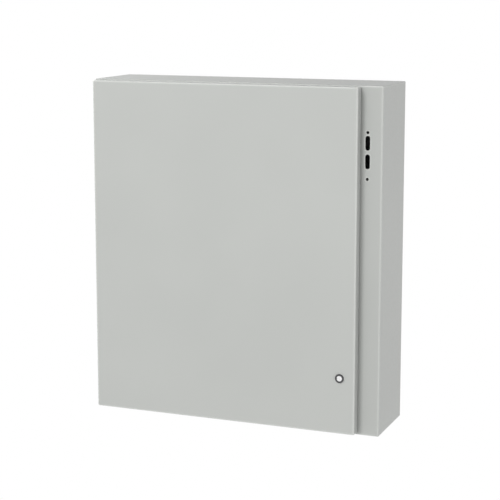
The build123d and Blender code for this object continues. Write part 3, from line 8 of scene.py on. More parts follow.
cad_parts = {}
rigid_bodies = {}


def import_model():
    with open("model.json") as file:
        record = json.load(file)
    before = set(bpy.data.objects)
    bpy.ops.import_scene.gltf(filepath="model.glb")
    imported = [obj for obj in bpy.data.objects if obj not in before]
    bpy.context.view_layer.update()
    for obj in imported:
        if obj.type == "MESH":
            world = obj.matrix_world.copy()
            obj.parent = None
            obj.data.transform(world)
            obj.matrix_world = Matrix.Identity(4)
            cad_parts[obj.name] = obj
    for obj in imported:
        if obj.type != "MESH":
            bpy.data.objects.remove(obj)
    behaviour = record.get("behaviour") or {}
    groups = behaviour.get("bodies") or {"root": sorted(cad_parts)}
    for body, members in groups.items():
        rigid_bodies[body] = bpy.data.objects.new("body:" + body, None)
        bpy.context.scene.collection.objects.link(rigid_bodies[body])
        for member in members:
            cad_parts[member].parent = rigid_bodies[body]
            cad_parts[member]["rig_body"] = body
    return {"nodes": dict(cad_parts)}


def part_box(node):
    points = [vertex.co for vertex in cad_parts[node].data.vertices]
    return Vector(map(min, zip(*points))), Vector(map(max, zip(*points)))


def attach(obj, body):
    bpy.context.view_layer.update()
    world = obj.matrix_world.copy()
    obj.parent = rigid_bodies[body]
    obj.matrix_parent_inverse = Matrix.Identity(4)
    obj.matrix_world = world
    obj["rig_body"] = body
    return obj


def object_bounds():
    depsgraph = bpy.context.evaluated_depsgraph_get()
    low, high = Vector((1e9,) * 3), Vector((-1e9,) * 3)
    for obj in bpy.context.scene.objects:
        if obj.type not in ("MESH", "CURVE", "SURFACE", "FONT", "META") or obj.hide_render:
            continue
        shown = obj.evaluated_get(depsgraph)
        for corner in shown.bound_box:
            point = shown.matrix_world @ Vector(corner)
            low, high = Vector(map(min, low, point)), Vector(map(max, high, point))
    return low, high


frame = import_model()
cad_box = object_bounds()
nodes = frame["nodes"]

# The camera, the lights and the shaders' sizes are in metres. Pieces are drawn in millimetres at
# (x, depth, z), where depth is 0 at the wall and grows towards the front.
MM = 0.001


def corners(node):
    """The lowest and highest corner (x, depth, z) of a CAD node."""
    low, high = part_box(node)
    return (
        [round(side / MM, 3) for side in (low[0], -high[1], low[2])],
        [round(side / MM, 3) for side in (high[0], -low[1], high[2])],
    )


def middle(node):
    """The middle (x, depth, z) of a CAD node's box."""
    return [round((low + high) / 2.0, 3) for low, high in zip(*corners(node))]


def front(node):
    """The depth of a CAD node's foremost point."""
    return corners(node)[1][1]


# ---------------------------------------------------------------- camera

FRAME_PIXELS = 500
FOCAL_PIXELS = 1448.5
SHIFT_PIXELS = -30.0
SENSOR_WIDTH = 36.0
CAMERA_YAW = 21.702
CAMERA_PITCH = 9.22
CAMERA_PLACE = (1.4409, -3.709, 0.7077)
NEAR, FAR = 0.05, 100.0


def make_camera():
    """The camera that stands to the right of the cabinet and a little above it."""
    data = bpy.data.cameras.new("camera")
    data.sensor_width = SENSOR_WIDTH
    data.lens = FOCAL_PIXELS / FRAME_PIXELS * SENSOR_WIDTH
    data.shift_y = SHIFT_PIXELS / FRAME_PIXELS
    data.clip_start = NEAR
    data.clip_end = FAR
    camera = bpy.data.objects.new("camera", data)
    camera.location = CAMERA_PLACE
    camera.rotation_euler = (
        math.radians(90.0 - CAMERA_PITCH),
        0.0,
        math.radians(CAMERA_YAW),
    )
    bpy.context.scene.collection.objects.link(camera)
    bpy.context.scene.camera = camera


# ---------------------------------------------------------------- studio

WHITE = (1.0, 1.0, 1.0, 1.0)
ZENITH = (0.08, 0.08, 0.08, 1.0)
WHITE_BELOW = 0.30
ZENITH_ABOVE = 0.62
FLOOR_GAP = 0.0006
FLOOR_HALF = 40.0


def make_world():
    """A room that is white up to a little over the horizon and nearly dark overhead."""
    world = bpy.data.worlds.new("studio")
    world.use_nodes = True
    nt = world.node_tree
    background = nt.nodes["Background"]
    place = nt.nodes.new("ShaderNodeTexCoord")
    split = nt.nodes.new("ShaderNodeSeparateXYZ")
    ramp = nt.nodes.new("ShaderNodeValToRGB")
    nt.links.new(place.outputs["Generated"], split.inputs[0])
    nt.links.new(split.outputs["Z"], ramp.inputs["Fac"])
    stops = zip(ramp.color_ramp.elements, (WHITE_BELOW, ZENITH_ABOVE), (WHITE, ZENITH))
    for stop, height, colour in stops:
        stop.position = height
        stop.color = colour
    nt.links.new(ramp.outputs["Color"], background.inputs["Color"])
    background.inputs["Strength"].default_value = 1.0
    bpy.context.scene.world = world


def make_floor():
    """A plain white floor under the cabinet."""
    mesh = bpy.data.meshes.new("floor")
    build = bmesh.new()
    bmesh.ops.create_grid(build, x_segments=1, y_segments=1, size=FLOOR_HALF)
    build.to_mesh(mesh)
    build.free()
    floor = bpy.data.objects.new("floor", mesh)
    floor.location.z = cad_box[0].z - FLOOR_GAP
    bpy.context.scene.collection.objects.link(floor)
    material = bpy.data.materials.new("floor_white")
    material.use_nodes = True
    nt = material.node_tree
    nt.nodes.remove(nt.nodes["Principled BSDF"])
    glow = nt.nodes.new("ShaderNodeEmission")
    glow.inputs["Color"].default_value = WHITE
    nt.links.new(glow.outputs[0], nt.nodes["Material Output"].inputs["Surface"])
    mesh.materials.append(material)


def area_light(name, place, target, size, power):
    """A soft box of a width and a height, at a place and facing a target."""
    data = bpy.data.lights.new(name, "AREA")
    data.shape = "RECTANGLE"
    data.size, data.size_y = size
    data.energy = power
    light = bpy.data.objects.new(name, data)
    light.location = place
    aim = Vector(target) - Vector(place)
    light.rotation_euler = aim.to_track_quat("-Z", "Y").to_euler()
    bpy.context.scene.collection.objects.link(light)


def make_lights():
    """A broad key light, and one small soft box each for the top, its bend and the corner."""
    area_light(
        "key", place=(-2.2, -7.1, 5.8), target=(0.0, -0.2, 0.0), size=(3.0, 3.0), power=485.0
    )
    area_light(
        "overhead", place=(-1.25, -0.1, 1.0), target=(-0.4, -0.1, 0.45), size=(0.5, 0.3), power=7.0
    )
    area_light(
        "bends", place=(-0.91, -0.59, 2.75), target=(0.0, -0.2, 0.457), size=(0.9, 0.15), power=11.0
    )
    area_light(
        "corner", place=(3.0, -1.25, -0.25), target=(0.406, -0.2, 0.0), size=(0.3, 1.6), power=14.0
    )


# ---------------------------------------------------------------- finishes


def linear(value):
    """The linear light of one sRGB value from 0 to 255."""
    share = value / 255.0
    return share / 12.92 if share <= 0.04045 else ((share + 0.055) / 1.055) ** 2.4


def srgb(red, green, blue):
    """A shader colour from sRGB values from 0 to 255."""
    return (linear(red), linear(green), linear(blue), 1.0)


def shade(colour, factor):
    """A colour made darker or lighter."""
    return tuple(min(1.0, part * factor) for part in colour[:3]) + (1.0,)


class Finish:
    """A material whose colour, roughness and relief come from procedural textures."""

    def __init__(self, name, roughness, metallic=0.0, coat=0.0, clear=0.0, ior=1.5):
        self.material = bpy.data.materials.new(name)
        self.material.use_nodes = True
        self.nt = self.material.node_tree
        self.shader = self.nt.nodes["Principled BSDF"]
        self.place = self.nt.nodes.new("ShaderNodeTexCoord").outputs["Object"]
        self.set("Roughness", roughness)
        self.set("Metallic", metallic)
        self.set("Coat Weight", coat)
        self.set("Transmission Weight", clear)
        self.set("IOR", ior)

    def set(self, socket, value):
        """Sets one of the shader's own values."""
        self.shader.inputs[socket].default_value = value

    def feed(self, socket, value):
        """Links a socket to another node's output, or sets it to a plain value."""
        if isinstance(value, bpy.types.NodeSocket):
            self.nt.links.new(value, socket)
        else:
            socket.default_value = value

    def node(self, kind, **inputs):
        """A new node. From_Min stands for its input "From Min", and _0 for its first input."""
        made = self.nt.nodes.new(kind)
        for name, value in inputs.items():
            key = int(name[1:]) if name[1:].isdigit() else name.replace("_", " ")
            self.feed(made.inputs[key], value)
        return made

    def stretched(self, x, y, z):
        """The object's own coordinates, scaled along each axis."""
        mapping = self.node("ShaderNodeMapping", Vector=self.place)
        mapping.inputs["Scale"].default_value = (x, y, z)
        return mapping.outputs[0]

    def noise(self, size, detail=3.0, roughness=0.5, place=None):
        """Cloudy noise with features of about one size."""
        made = self.node(
            "ShaderNodeTexNoise",
            Vector=self.place if place is None else place,
            Scale=1.0 / size,
            Detail=detail,
            Roughness=roughness,
        )
        return made.outputs["Fac"]

    def wave(self, scale, distortion, direction):
        """Bands across one axis."""
        made = self.node(
            "ShaderNodeTexWave", Vector=self.place, Scale=scale, Distortion=distortion
        )
        made.bands_direction = direction
        return made.outputs["Fac"]

    def ramp(self, value, low, high, at_low=0.0, at_high=1.0):
        """Runs from at_low to at_high while the value runs from low to high."""
        made = self.node(
            "ShaderNodeMapRange",
            Value=value,
            From_Min=low,
            From_Max=high,
            To_Min=at_low,
            To_Max=at_high,
        )
        return made.outputs["Result"]

    def weakened(self, value, most):
        """A value from 0 to 1 made to run from 0 to most."""
        return self.ramp(value, 0.0, 1.0, 0.0, most)

    def mix(self, share, a, b):
        """Colour a where the share is 0 and colour b where it is 1."""
        made = self.nt.nodes.new("ShaderNodeMix")
        made.data_type = "RGBA"
        sockets = {(socket.name, socket.type): socket for socket in made.inputs}
        self.feed(sockets["Factor", "VALUE"], share)
        self.feed(sockets["A", "RGBA"], a)
        self.feed(sockets["B", "RGBA"], b)
        return next(socket for socket in made.outputs if socket.type == "RGBA")

    def mix_between(self, value, low, high, a, b):
        """Colour a where the value is at most low, and colour b where it is at least high."""
        return self.mix(self.ramp(value, low, high), a, b)

    def edges(self, radius, low=0.02, high=0.25):
        """One at the piece's sharp edges, none elsewhere."""
        rounded = self.node("ShaderNodeBevel", Radius=radius)
        rounded.samples = 4
        flat = self.nt.nodes.new("ShaderNodeNewGeometry")
        meet = self.node(
            "ShaderNodeVectorMath", _0=rounded.outputs[0], _1=flat.outputs["Normal"]
        )
        meet.operation = "DOT_PRODUCT"
        return self.ramp(meet.outputs["Value"], 1.0 - low, 1.0 - high)

    def colour(self, value):
        """The base colour."""
        self.nt.links.new(value, self.shader.inputs["Base Color"])

    def rough(self, value, low, high, at_low, at_high):
        """Roughness that runs from at_low to at_high while the value runs from low to high."""
        made = self.ramp(value, low, high, at_low, at_high)
        self.nt.links.new(made, self.shader.inputs["Roughness"])

    def bump(self, height, distance, strength=1.0):
        """Fine relief, as deep as the distance where the height is 1."""
        made = self.node(
            "ShaderNodeBump", Height=height, Distance=distance, Strength=strength
        )
        self.nt.links.new(made.outputs[0], self.shader.inputs["Normal"])


def powder_coat(name, colour, roughness):
    """Baked paint: orange peel, faint colour drift and a painted highlight along its edges and
    bends.
    """
    f = Finish(name, roughness)
    drift = f.noise(0.28, 2.0)
    base = f.mix_between(drift, 0.35, 0.65, shade(colour, 0.985), shade(colour, 1.012))
    speck = f.ramp(f.noise(0.0011, 2.0), 0.62, 0.74)
    base = f.mix(f.weakened(speck, 0.12), base, shade(colour, 0.95))
    # Painted highlight: the paint is made 1.38 times lighter along edges and bends, where the bends
    # would catch the light.
    base = f.mix(f.edges(0.006, 0.003, 0.06), base, shade(colour, 1.38))
    f.colour(base)
    f.rough(f.noise(0.006, 3.0), 0.3, 0.7, roughness - 0.04, roughness + 0.05)
    f.bump(f.noise(0.003, 2.0), 0.000003)
    return f.material


def plated_steel(name, colour, roughness, worn, brush=(1.0, 1.0, 1.0)):
    """Plated sheet or bar: fine brushing, cloudy plating and bright edges."""
    f = Finish(name, roughness, metallic=1.0)
    grain = f.noise(0.0012, 2.0, place=f.stretched(*brush))
    clouds = f.noise(0.018, 4.0, 0.6)
    base = f.mix_between(clouds, 0.3, 0.7, shade(colour, 0.93), shade(colour, 1.04))
    f.colour(f.mix(f.weakened(f.edges(0.0006), 0.6), base, worn))
    f.rough(grain, 0.3, 0.7, roughness - 0.08, roughness + 0.12)
    f.bump(grain, 0.000012)
    return f.material


def moulded(name, colour, roughness, grain=0.0009, depth=0.00002, coat=0.0):
    """Moulded plastic: spark-eroded grain, faint flow marks and rubbed edges."""
    f = Finish(name, roughness, coat=coat)
    flow = f.noise(0.03, 3.0, 0.55)
    base = f.mix_between(flow, 0.3, 0.7, shade(colour, 0.975), shade(colour, 1.025))
    f.colour(f.mix(f.weakened(f.edges(0.0007), 0.3), base, shade(colour, 1.7)))
    f.rough(f.noise(0.004, 3.0), 0.3, 0.7, roughness - 0.07, roughness + 0.07)
    f.bump(f.noise(grain, 2.0), depth)
    return f.material


def fibre_board(name, colour):
    """Pressed insulating board with short fibres."""
    f = Finish(name, 0.7)
    fibres = f.noise(0.0016, 4.0, 0.7, f.stretched(1.0, 1.0, 0.25))
    base = f.mix_between(fibres, 0.35, 0.65, shade(colour, 0.8), shade(colour, 1.15))
    f.colour(f.mix_between(f.noise(0.04), 0.35, 0.7, base, shade(colour, 0.92)))
    f.rough(fibres, 0.3, 0.7, 0.6, 0.8)
    f.bump(fibres, 0.00004)
    return f.material


def copper_bar(name, colour, brown, bright):
    """Rolled copper: long rolling marks, brown tarnish and bright edges."""
    f = Finish(name, 0.32, metallic=1.0)
    rolled = f.noise(0.0009, 2.0, place=f.stretched(1.0, 1.0, 0.08))
    tarnish = f.ramp(f.noise(0.03, 4.0, 0.55), 0.4, 0.75)
    base = f.mix(f.weakened(tarnish, 0.4), colour, brown)
    f.colour(f.mix(f.weakened(f.edges(0.0006), 0.6), base, bright))
    f.rough(tarnish, 0.0, 1.0, 0.24, 0.5)
    f.bump(rolled, 0.000014)
    return f.material


def foam_rubber(name, colour):
    """Closed-cell foam strip."""
    f = Finish(name, 0.85)
    cells = f.node("ShaderNodeTexVoronoi", Vector=f.place, Scale=900.0).outputs["Distance"]
    f.colour(f.mix_between(cells, 0.0, 0.7, shade(colour, 0.6), shade(colour, 1.5)))
    f.rough(cells, 0.0, 0.8, 0.92, 0.75)
    f.bump(cells, 0.0002, 0.8)
    return f.material


def varnished_tape(name, colour):
    """Winding tape in overlapping turns under a coat of varnish."""
    f = Finish(name, 0.35, coat=0.4)
    turns = f.wave(28.0, 0.4, "Z")
    base = f.mix_between(turns, 0.0, 0.25, shade(colour, 0.62), colour)
    f.colour(f.mix_between(f.noise(0.012, 4.0), 0.45, 0.7, base, shade(colour, 0.8)))
    f.rough(f.noise(0.003), 0.3, 0.7, 0.25, 0.5)
    f.bump(turns, 0.00012)
    return f.material


def laminated_iron(name, colour, rust):
    """Stacked sheets, seen as fine lines, with rust in places."""
    f = Finish(name, 0.5, metallic=0.7)
    sheets = f.wave(170.0, 0.3, "Y")
    base = f.mix_between(sheets, 0.1, 0.9, shade(colour, 0.55), shade(colour, 1.25))
    f.colour(f.mix(f.ramp(f.noise(0.01, 5.0, 0.7), 0.6, 0.75, 0.0, 0.5), base, rust))
    f.rough(sheets, 0.0, 1.0, 0.65, 0.4)
    f.bump(sheets, 0.00008)
    return f.material


def clear_moulding(name, colour, roughness, clear, ior):
    """Clear moulded cover or lens with faint haze and small scuffs."""
    f = Finish(name, roughness, clear=clear, ior=ior)
    f.colour(f.mix_between(f.noise(0.02, 4.0), 0.3, 0.7, colour, shade(colour, 0.93)))
    scuffs = f.noise(0.0012, 3.0, place=f.stretched(0.15, 1.0, 1.0))
    f.rough(scuffs, 0.4, 0.75, roughness, roughness + 0.14)
    f.bump(scuffs, 0.000006)
    return f.material


def display_face(name, colour):
    """Liquid crystal panel: fine dot grid under glass."""
    f = Finish(name, 0.12, coat=0.6)
    columns, rows = [f.wave(260.0, 0.0, direction) for direction in ("X", "Z")]
    dots = f.node("ShaderNodeMath", _0=columns, _1=rows)
    dots.operation = "MULTIPLY"
    f.colour(
        f.mix_between(dots.outputs[0], 0.2, 0.9, shade(colour, 0.8), shade(colour, 1.2))
    )
    f.rough(f.noise(0.008), 0.3, 0.7, 0.08, 0.18)
    f.bump(f.noise(0.004), 0.000004)
    return f.material


# The body's paint is a darker copy of the door's paint: painted shade on the flange and sides,
# which carry the same paint as the door.
BODY_PAINT_SHADED = srgb(168, 170, 167)
DOOR_PAINT = srgb(173, 175, 172)
PAINT_ROUGHNESS = 0.36
UPRIGHT_BRUSH = (1.0, 1.0, 0.06)
LEVEL_BRUSH = (0.06, 1.0, 1.0)


def slot_name(material):
    """The record's slot that a material stands for: its name without Blender's number."""
    return material.name.split(".")[0]


def make_finishes():
    """One material for each of the record's slots, by name, and an unshaded copy of the paint for
    the door; the body's copy is darker as painted shade.
    """
    made = [
        powder_coat("enclosure_paint", BODY_PAINT_SHADED, PAINT_ROUGHNESS),
        powder_coat("door_paint", DOOR_PAINT, PAINT_ROUGHNESS),
        powder_coat("panel_white", srgb(226, 226, 221), 0.42),
        plated_steel(
            "zinc_steel", srgb(196, 197, 196), 0.34, srgb(232, 232, 230), UPRIGHT_BRUSH
        ),
        plated_steel(
            "hinge_steel", srgb(188, 190, 188), 0.42, srgb(226, 226, 224), UPRIGHT_BRUSH
        ),
        foam_rubber("gasket_foam", srgb(46, 46, 47)),
        moulded("pocket_plastic", srgb(176, 179, 178), 0.45),
        moulded("latch_black", srgb(58, 58, 60), 0.42, grain=0.0006, depth=0.00001),
        plated_steel(
            "latch_chrome", srgb(236, 236, 236), 0.16, srgb(250, 250, 250), LEVEL_BRUSH
        ),
        moulded("phenolic", srgb(96, 44, 34), 0.38, grain=0.0014, depth=0.00003),
        fibre_board("barrier_board", srgb(206, 186, 150)),
        copper_bar("copper", srgb(202, 142, 114), srgb(150, 92, 66), srgb(238, 178, 150)),
        plated_steel("lug_aluminium", srgb(214, 215, 215), 0.36, srgb(240, 240, 240)),
        plated_steel("black_oxide", srgb(62, 62, 66), 0.4, srgb(150, 150, 152)),
        moulded("chute_plastic", srgb(58, 58, 62), 0.55),
        varnished_tape("coil_tape", srgb(214, 176, 72)),
        moulded("handle_red", srgb(190, 32, 26), 0.33, coat=0.3),
        moulded("black_plastic", srgb(44, 44, 46), 0.42),
        moulded("housing_grey", srgb(116, 120, 124), 0.5),
        display_face("display_glass", srgb(94, 116, 96)),
        clear_moulding("lamp_green", srgb(86, 214, 110), 0.1, clear=0.55, ior=1.49),
        moulded("key_plastic", srgb(206, 208, 210), 0.4),
        laminated_iron("lamination", srgb(120, 120, 124), srgb(104, 74, 58)),
        moulded("device_white", srgb(222, 222, 214), 0.42),
        clear_moulding("relay_clear", srgb(236, 242, 248), 0.04, clear=0.96, ior=1.12),
        moulded("terminal_grey", srgb(164, 166, 165), 0.5),
        moulded("duct_grey", srgb(178, 180, 180), 0.55, grain=0.0012),
        moulded("insulator_red", srgb(160, 42, 32), 0.4),
        plated_steel("brass_screw", srgb(208, 178, 108), 0.3, srgb(244, 222, 168)),
    ]
    return {slot_name(material): material for material in made}


def dress_nodes(finishes):
    """Gives every CAD node the finish that its slot names. The door gets the lighter copy of the
    paint, and the body gets the darker copy, which is painted shade.
    """
    for node in nodes.values():
        for holder in node.material_slots:
            name = slot_name(holder.material)
            on_door = name == "enclosure_paint" and node["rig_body"] == "door"
            holder.material = finishes["door_paint" if on_door else name]


# ---------------------------------------------------------------- shapes

SMOOTH_UP_TO = math.radians(32.0)


def piece(name, build, body, slot, finishes):
    """Turns mesh-building data into a piece that rides on a body."""
    mesh = bpy.data.meshes.new(name)
    build.to_mesh(mesh)
    build.free()
    for face in mesh.polygons:
        face.use_smooth = True
    mesh.set_sharp_from_angle(angle=SMOOTH_UP_TO)
    mesh.materials.append(finishes[slot])
    made = bpy.data.objects.new(name, mesh)
    bpy.context.scene.collection.objects.link(made)
    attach(made, body)


def at(x, depth, z):
    """A point in Blender's metres."""
    return Vector((x, -depth, z)) * MM


def facing_front(x, depth, z):
    """A frame at a point: local Z looks out at the front, local Y stays up."""
    return Matrix.Translation(at(x, depth, z)) @ Matrix.Rotation(math.radians(90.0), 4, "X")


def on_circle(place, radius, angle, level):
    """A point round a frame's local Z, in Blender's metres."""
    point = Vector((radius * math.cos(angle), radius * math.sin(angle), level))
    return place @ (point * MM)


def add_shell(build, rings):
    """Faces from ring to ring and a cap at each end. All rings have the same number of points."""
    made = [[build.verts.new(point) for point in ring] for ring in rings]
    for lower, upper in zip(made, made[1:]):
        for k, vert in enumerate(lower):
            after = (k + 1) % len(lower)
            build.faces.new((vert, lower[after], upper[after], upper[k]))
    build.faces.new(list(reversed(made[0])))
    build.faces.new(made[-1])


def add_prism(build, place, sides, radius, low, high, chamfer):
    """A chamfered prism along a frame's local Z, from low to high."""
    profile = (
        (radius - chamfer, low),
        (radius, low + chamfer),
        (radius, high - chamfer),
        (radius - chamfer, high),
    )
    angles = [2.0 * math.pi * k / sides for k in range(sides)]
    add_shell(
        build,
        [
            [on_circle(place, ring_radius, angle, level) for angle in angles]
            for ring_radius, level in profile
        ],
    )


HEAD_SIDES = 24
HALF_HEAD_STEPS = 12
# Shares of the head's radius.
HEAD_CHAMFER = 0.08
SLOT_HALF_WIDTH = 0.14
SLOT_DEPTH = 0.3
# How far the halves beside the slot reach into the head below it.
HALF_HEAD_OVERLAP = 0.02


def add_slotted_head(build, place, radius, low, high, turn):
    """A round screw head from low to high with a driver slot across it, turned by an angle."""
    slot_floor = high - SLOT_DEPTH * radius
    add_prism(build, place, HEAD_SIDES, radius, low, slot_floor, HEAD_CHAMFER * radius)
    start = math.asin(SLOT_HALF_WIDTH)
    step = (math.pi - 2.0 * start) / HALF_HEAD_STEPS
    for half_turn in (0.0, math.pi):
        angles = [start + step * k + half_turn + turn for k in range(HALF_HEAD_STEPS + 1)]
        add_shell(
            build,
            [
                [on_circle(place, radius, angle, level) for angle in angles]
                for level in (slot_floor - HALF_HEAD_OVERLAP, high)
            ],
        )


def add_block(build, low, high, chamfer):
    """A chamfered block between two corners (x, depth, z)."""
    size = [b - a for a, b in zip(low, high)]
    centre = [(a + b) / 2.0 for a, b in zip(low, high)]
    made = bmesh.ops.create_cube(
        build,
        size=1.0,
        matrix=Matrix.Translation(at(*centre))
        @ Matrix.Diagonal((*[side * MM for side in size], 1.0)),
    )
    edges = dict.fromkeys(edge for vert in made["verts"] for edge in vert.link_edges)
    bmesh.ops.bevel(
        build,
        geom=list(edges),
        offset=chamfer * MM,
        segments=2,
        profile=0.5,
        affect="EDGES",
    )


LEAD_RADIUS = 1.25


def add_lead(build, points):
    """An insulated wire along points (x, depth, z)."""
    data = bpy.data.curves.new("lead", "CURVE")
    data.dimensions = "3D"
    data.resolution_u = 8
    data.bevel_depth = LEAD_RADIUS * MM
    data.bevel_resolution = 2
    data.use_fill_caps = True
    spline = data.splines.new("NURBS")
    spline.points.add(len(points) - 1)
    for target, point in zip(spline.points, points):
        target.co = (*at(*point), 1.0)
    spline.order_u = 3
    spline.use_endpoint_u = True
    holder = bpy.data.objects.new("lead", data)
    bpy.context.scene.collection.objects.link(holder)
    bpy.context.view_layer.update()
    mesh = bpy.data.meshes.new_from_object(
        holder.evaluated_get(bpy.context.evaluated_depsgraph_get())
    )
    build.from_mesh(mesh)
    bpy.data.objects.remove(holder)
    bpy.data.meshes.remove(mesh)
    bpy.data.curves.remove(data)


# ---------------------------------------------------------------- latch

CAM_WASHER_RADIUS = 7.5
CAM_WASHER_THICKNESS = 1.6
CAM_HEAD_RADIUS = 5.77
CAM_HEAD_HEIGHT = 4.5


def make_cam_screw(finishes):
    """The hexagon screw and washer that hold the latch cam."""
    latch_x, _, latch_z = middle("latch_core")
    cam_back = corners("latch_cam")[0][1]
    washer_end = CAM_HEAD_HEIGHT + CAM_WASHER_THICKNESS
    place = facing_front(latch_x, cam_back - washer_end, latch_z)
    build = bmesh.new()
    add_prism(build, place, 40, CAM_WASHER_RADIUS, CAM_HEAD_HEIGHT, washer_end, 0.3)
    add_prism(build, place, 6, CAM_HEAD_RADIUS, 0.0, CAM_HEAD_HEIGHT, 0.5)
    piece("latch_cam_screw", build, "latch", "zinc_steel", finishes)


# ---------------------------------------------------------------- rail devices

RAIL_Z = middle("din_rail")[2]
TERMINALS, TERMINAL_PITCH = 24, 8.0
FIRST_TERMINAL_X = middle("terminal_strip")[0] - (TERMINALS - 1) / 2.0 * TERMINAL_PITCH
TERMINALS_X = [FIRST_TERMINAL_X + TERMINAL_PITCH * k for k in range(TERMINALS)]
BREAKERS_X = [middle("breaker_toggle_" + source)[0] for source in ("normal", "emergency")]
RELAY_PITCH = 36.0
RELAYS_X = [middle("relay_covers")[0] + RELAY_PITCH * k for k in (-1, 0, 1)]

# Steps from a device's middle to its screws, across and up.
TERMINAL_ACROSS, TERMINAL_UP = (0.0,), (-19.5, 19.5)
BREAKER_ACROSS, BREAKER_UP = (-8.75, 8.75), (-33.0, 33.0)
RELAY_ACROSS, RELAY_UP = (-9.0, 0.0, 9.0), (-32.0, 32.0)

SCREW_LIFT = 0.02
SCREW_TURN_STEP = 47


def make_device_screws(finishes):
    """Slotted screws in the wells of the rail devices, each turned its own way."""
    terminal_floor = front("terminal_strip") - 20.0
    breaker_floor = front("control_breakers") - 26.0
    relay_floor = front("relay_sockets") - 14.0
    wells = [
        (x + across, floor, RAIL_Z + up, radius, height)
        for all_x, all_across, all_up, floor, radius, height in (
            (TERMINALS_X, TERMINAL_ACROSS, TERMINAL_UP, terminal_floor, 2.1, 3.0),
            (BREAKERS_X, BREAKER_ACROSS, BREAKER_UP, breaker_floor, 3.4, 4.2),
            (RELAYS_X, RELAY_ACROSS, RELAY_UP, relay_floor, 2.5, 2.8),
        )
        for x in all_x
        for across in all_across
        for up in all_up
    ]
    build = bmesh.new()
    for number, (x, depth, z, radius, height) in enumerate(wells):
        turn = math.radians(number * SCREW_TURN_STEP % 180)
        add_slotted_head(build, facing_front(x, depth, z), radius, SCREW_LIFT, height, turn)
    piece("device_screws", build, "enclosure", "zinc_steel", finishes)


BOBBIN_RADIUS = 9.0
BOBBIN_END = 1.5
COIL_RADIUS = 7.4
COIL_TOP = 19.0
BLADES_ACROSS = (-7.5, -2.5, 2.5, 7.5)


def make_relay_insides(finishes):
    """Coil, bobbin ends, yoke and contact blades under each clear relay cover."""
    foot = front("relay_sockets") + 3.4
    metal_foot, yoke_front, blade_front = foot + 0.2, foot + 22.0, foot + 26.0
    coils, bobbins, metal = bmesh.new(), bmesh.new(), bmesh.new()
    for x in RELAYS_X:
        place = facing_front(x, foot, RAIL_Z - 5.0)
        add_prism(coils, place, 32, COIL_RADIUS, BOBBIN_END, COIL_TOP, 0.4)
        for low in (0.0, COIL_TOP):
            add_prism(bobbins, place, 32, BOBBIN_RADIUS, low, low + BOBBIN_END, 0.3)
        add_block(
            bobbins, (x - 11.0, foot - 2.8, RAIL_Z - 15.5), (x + 11.0, foot, RAIL_Z + 15.5), 0.5
        )
        add_block(
            metal,
            (x - 7.0, yoke_front - 1.4, RAIL_Z - 14.0),
            (x + 7.0, yoke_front, RAIL_Z + 9.0),
            0.4,
        )
        add_block(
            metal,
            (x - 7.0, metal_foot, RAIL_Z - 15.2),
            (x + 7.0, yoke_front, RAIL_Z - 14.2),
            0.3,
        )
        for across in BLADES_ACROSS:
            blade = x + across
            add_block(
                metal,
                (blade - 1.0, metal_foot, RAIL_Z + 10.0),
                (blade + 1.0, blade_front, RAIL_Z + 10.7),
                0.2,
            )
    piece("relay_windings", coils, "enclosure", "coil_tape", finishes)
    piece("relay_bobbins", bobbins, "enclosure", "black_plastic", finishes)
    piece("relay_blades", metal, "enclosure", "zinc_steel", finishes)


# ---------------------------------------------------------------- control wiring

LEAD_SLOTS = ("black_plastic", "handle_red", "device_white")
LEVEL_DUCT_INSIDE = corners("wire_ducts")[0][2] + 16.0
LEVEL_DUCT_MOUTH = LEVEL_DUCT_INSIDE + 12.0
FIRST_GAP_X, GAP_PITCH = 18.0, 12.0
FIRST_ROW_DEPTH, ROW_PITCH = 46.0, 4.0
UPRIGHT_DUCT_LEFT, UPRIGHT_DUCT_RIGHT = 112.0, 128.0
UPRIGHT_DUCT_DEPTH = 50.0

# Routes given one by one, without their last point inside the upright duct.
SOLENOID_LEADS = (
    [(36, 143, 170), (44, 152, 172), (74, 154, 180), (92, 120, 182), (96, 60, 182)],
    [(36, 143, 176), (46, 150, 180), (76, 152, 190), (96, 122, 194), (99, 62, 194)],
)
TRANSFORMER_LEADS = (
    [(190, 87, 88), (184, 94, 90), (160, 88, 88), (150, 56, 86)],
    [(190, 87, 64), (184, 94, 62), (160, 88, 62), (150, 56, 62)],
    [(300, 88, 60), (298, 94, 50), (292, 66, 32), (262, 46, 28), (160, 46, 26)],
    [(310, 88, 60), (308, 94, 46), (300, 62, 22), (262, 42, 16), (160, 46, 14)],
)


def rail_leads():
    """Leads that drop from the rail devices through the gaps of the level duct."""
    starts = [
        (x + across, depth, RAIL_Z - drop)
        for all_x, all_across, depth, drop in (
            (TERMINALS_X, TERMINAL_ACROSS, 50.0, 23.0),
            (BREAKERS_X, BREAKER_ACROSS, 60.0, 40.0),
            (RELAYS_X, RELAY_ACROSS, 42.0, 36.0),
        )
        for x in all_x
        for across in all_across
    ]
    leads = []
    taken = {}
    for x, depth, z in starts:
        gap = FIRST_GAP_X + GAP_PITCH * round((x - FIRST_GAP_X) / GAP_PITCH)
        row = taken.get(gap, 0)
        taken[gap] = row + 1
        inside = FIRST_ROW_DEPTH + ROW_PITCH * row
        leads.append(
            [
                (x, depth, z),
                (x, depth, z - 10.0),
                (x, (depth + inside) / 2.0, z - 20.0),
                (gap, inside, LEVEL_DUCT_MOUTH + 10.0),
                (gap, inside, LEVEL_DUCT_MOUTH),
                (gap, inside, LEVEL_DUCT_INSIDE),
            ]
        )
    return leads


def corner_lead(x, start, depth, z, duct_x):
    """A lead that leaves a device straight up or down and turns into the upright duct."""
    return [
        (x, depth, start),
        (x, depth, start + 0.6 * (z - start)),
        (x, depth, z),
        (x + 0.4 * (duct_x - x), (depth + UPRIGHT_DUCT_DEPTH) / 2.0, z),
        (duct_x, UPRIGHT_DUCT_DEPTH, z),
    ]


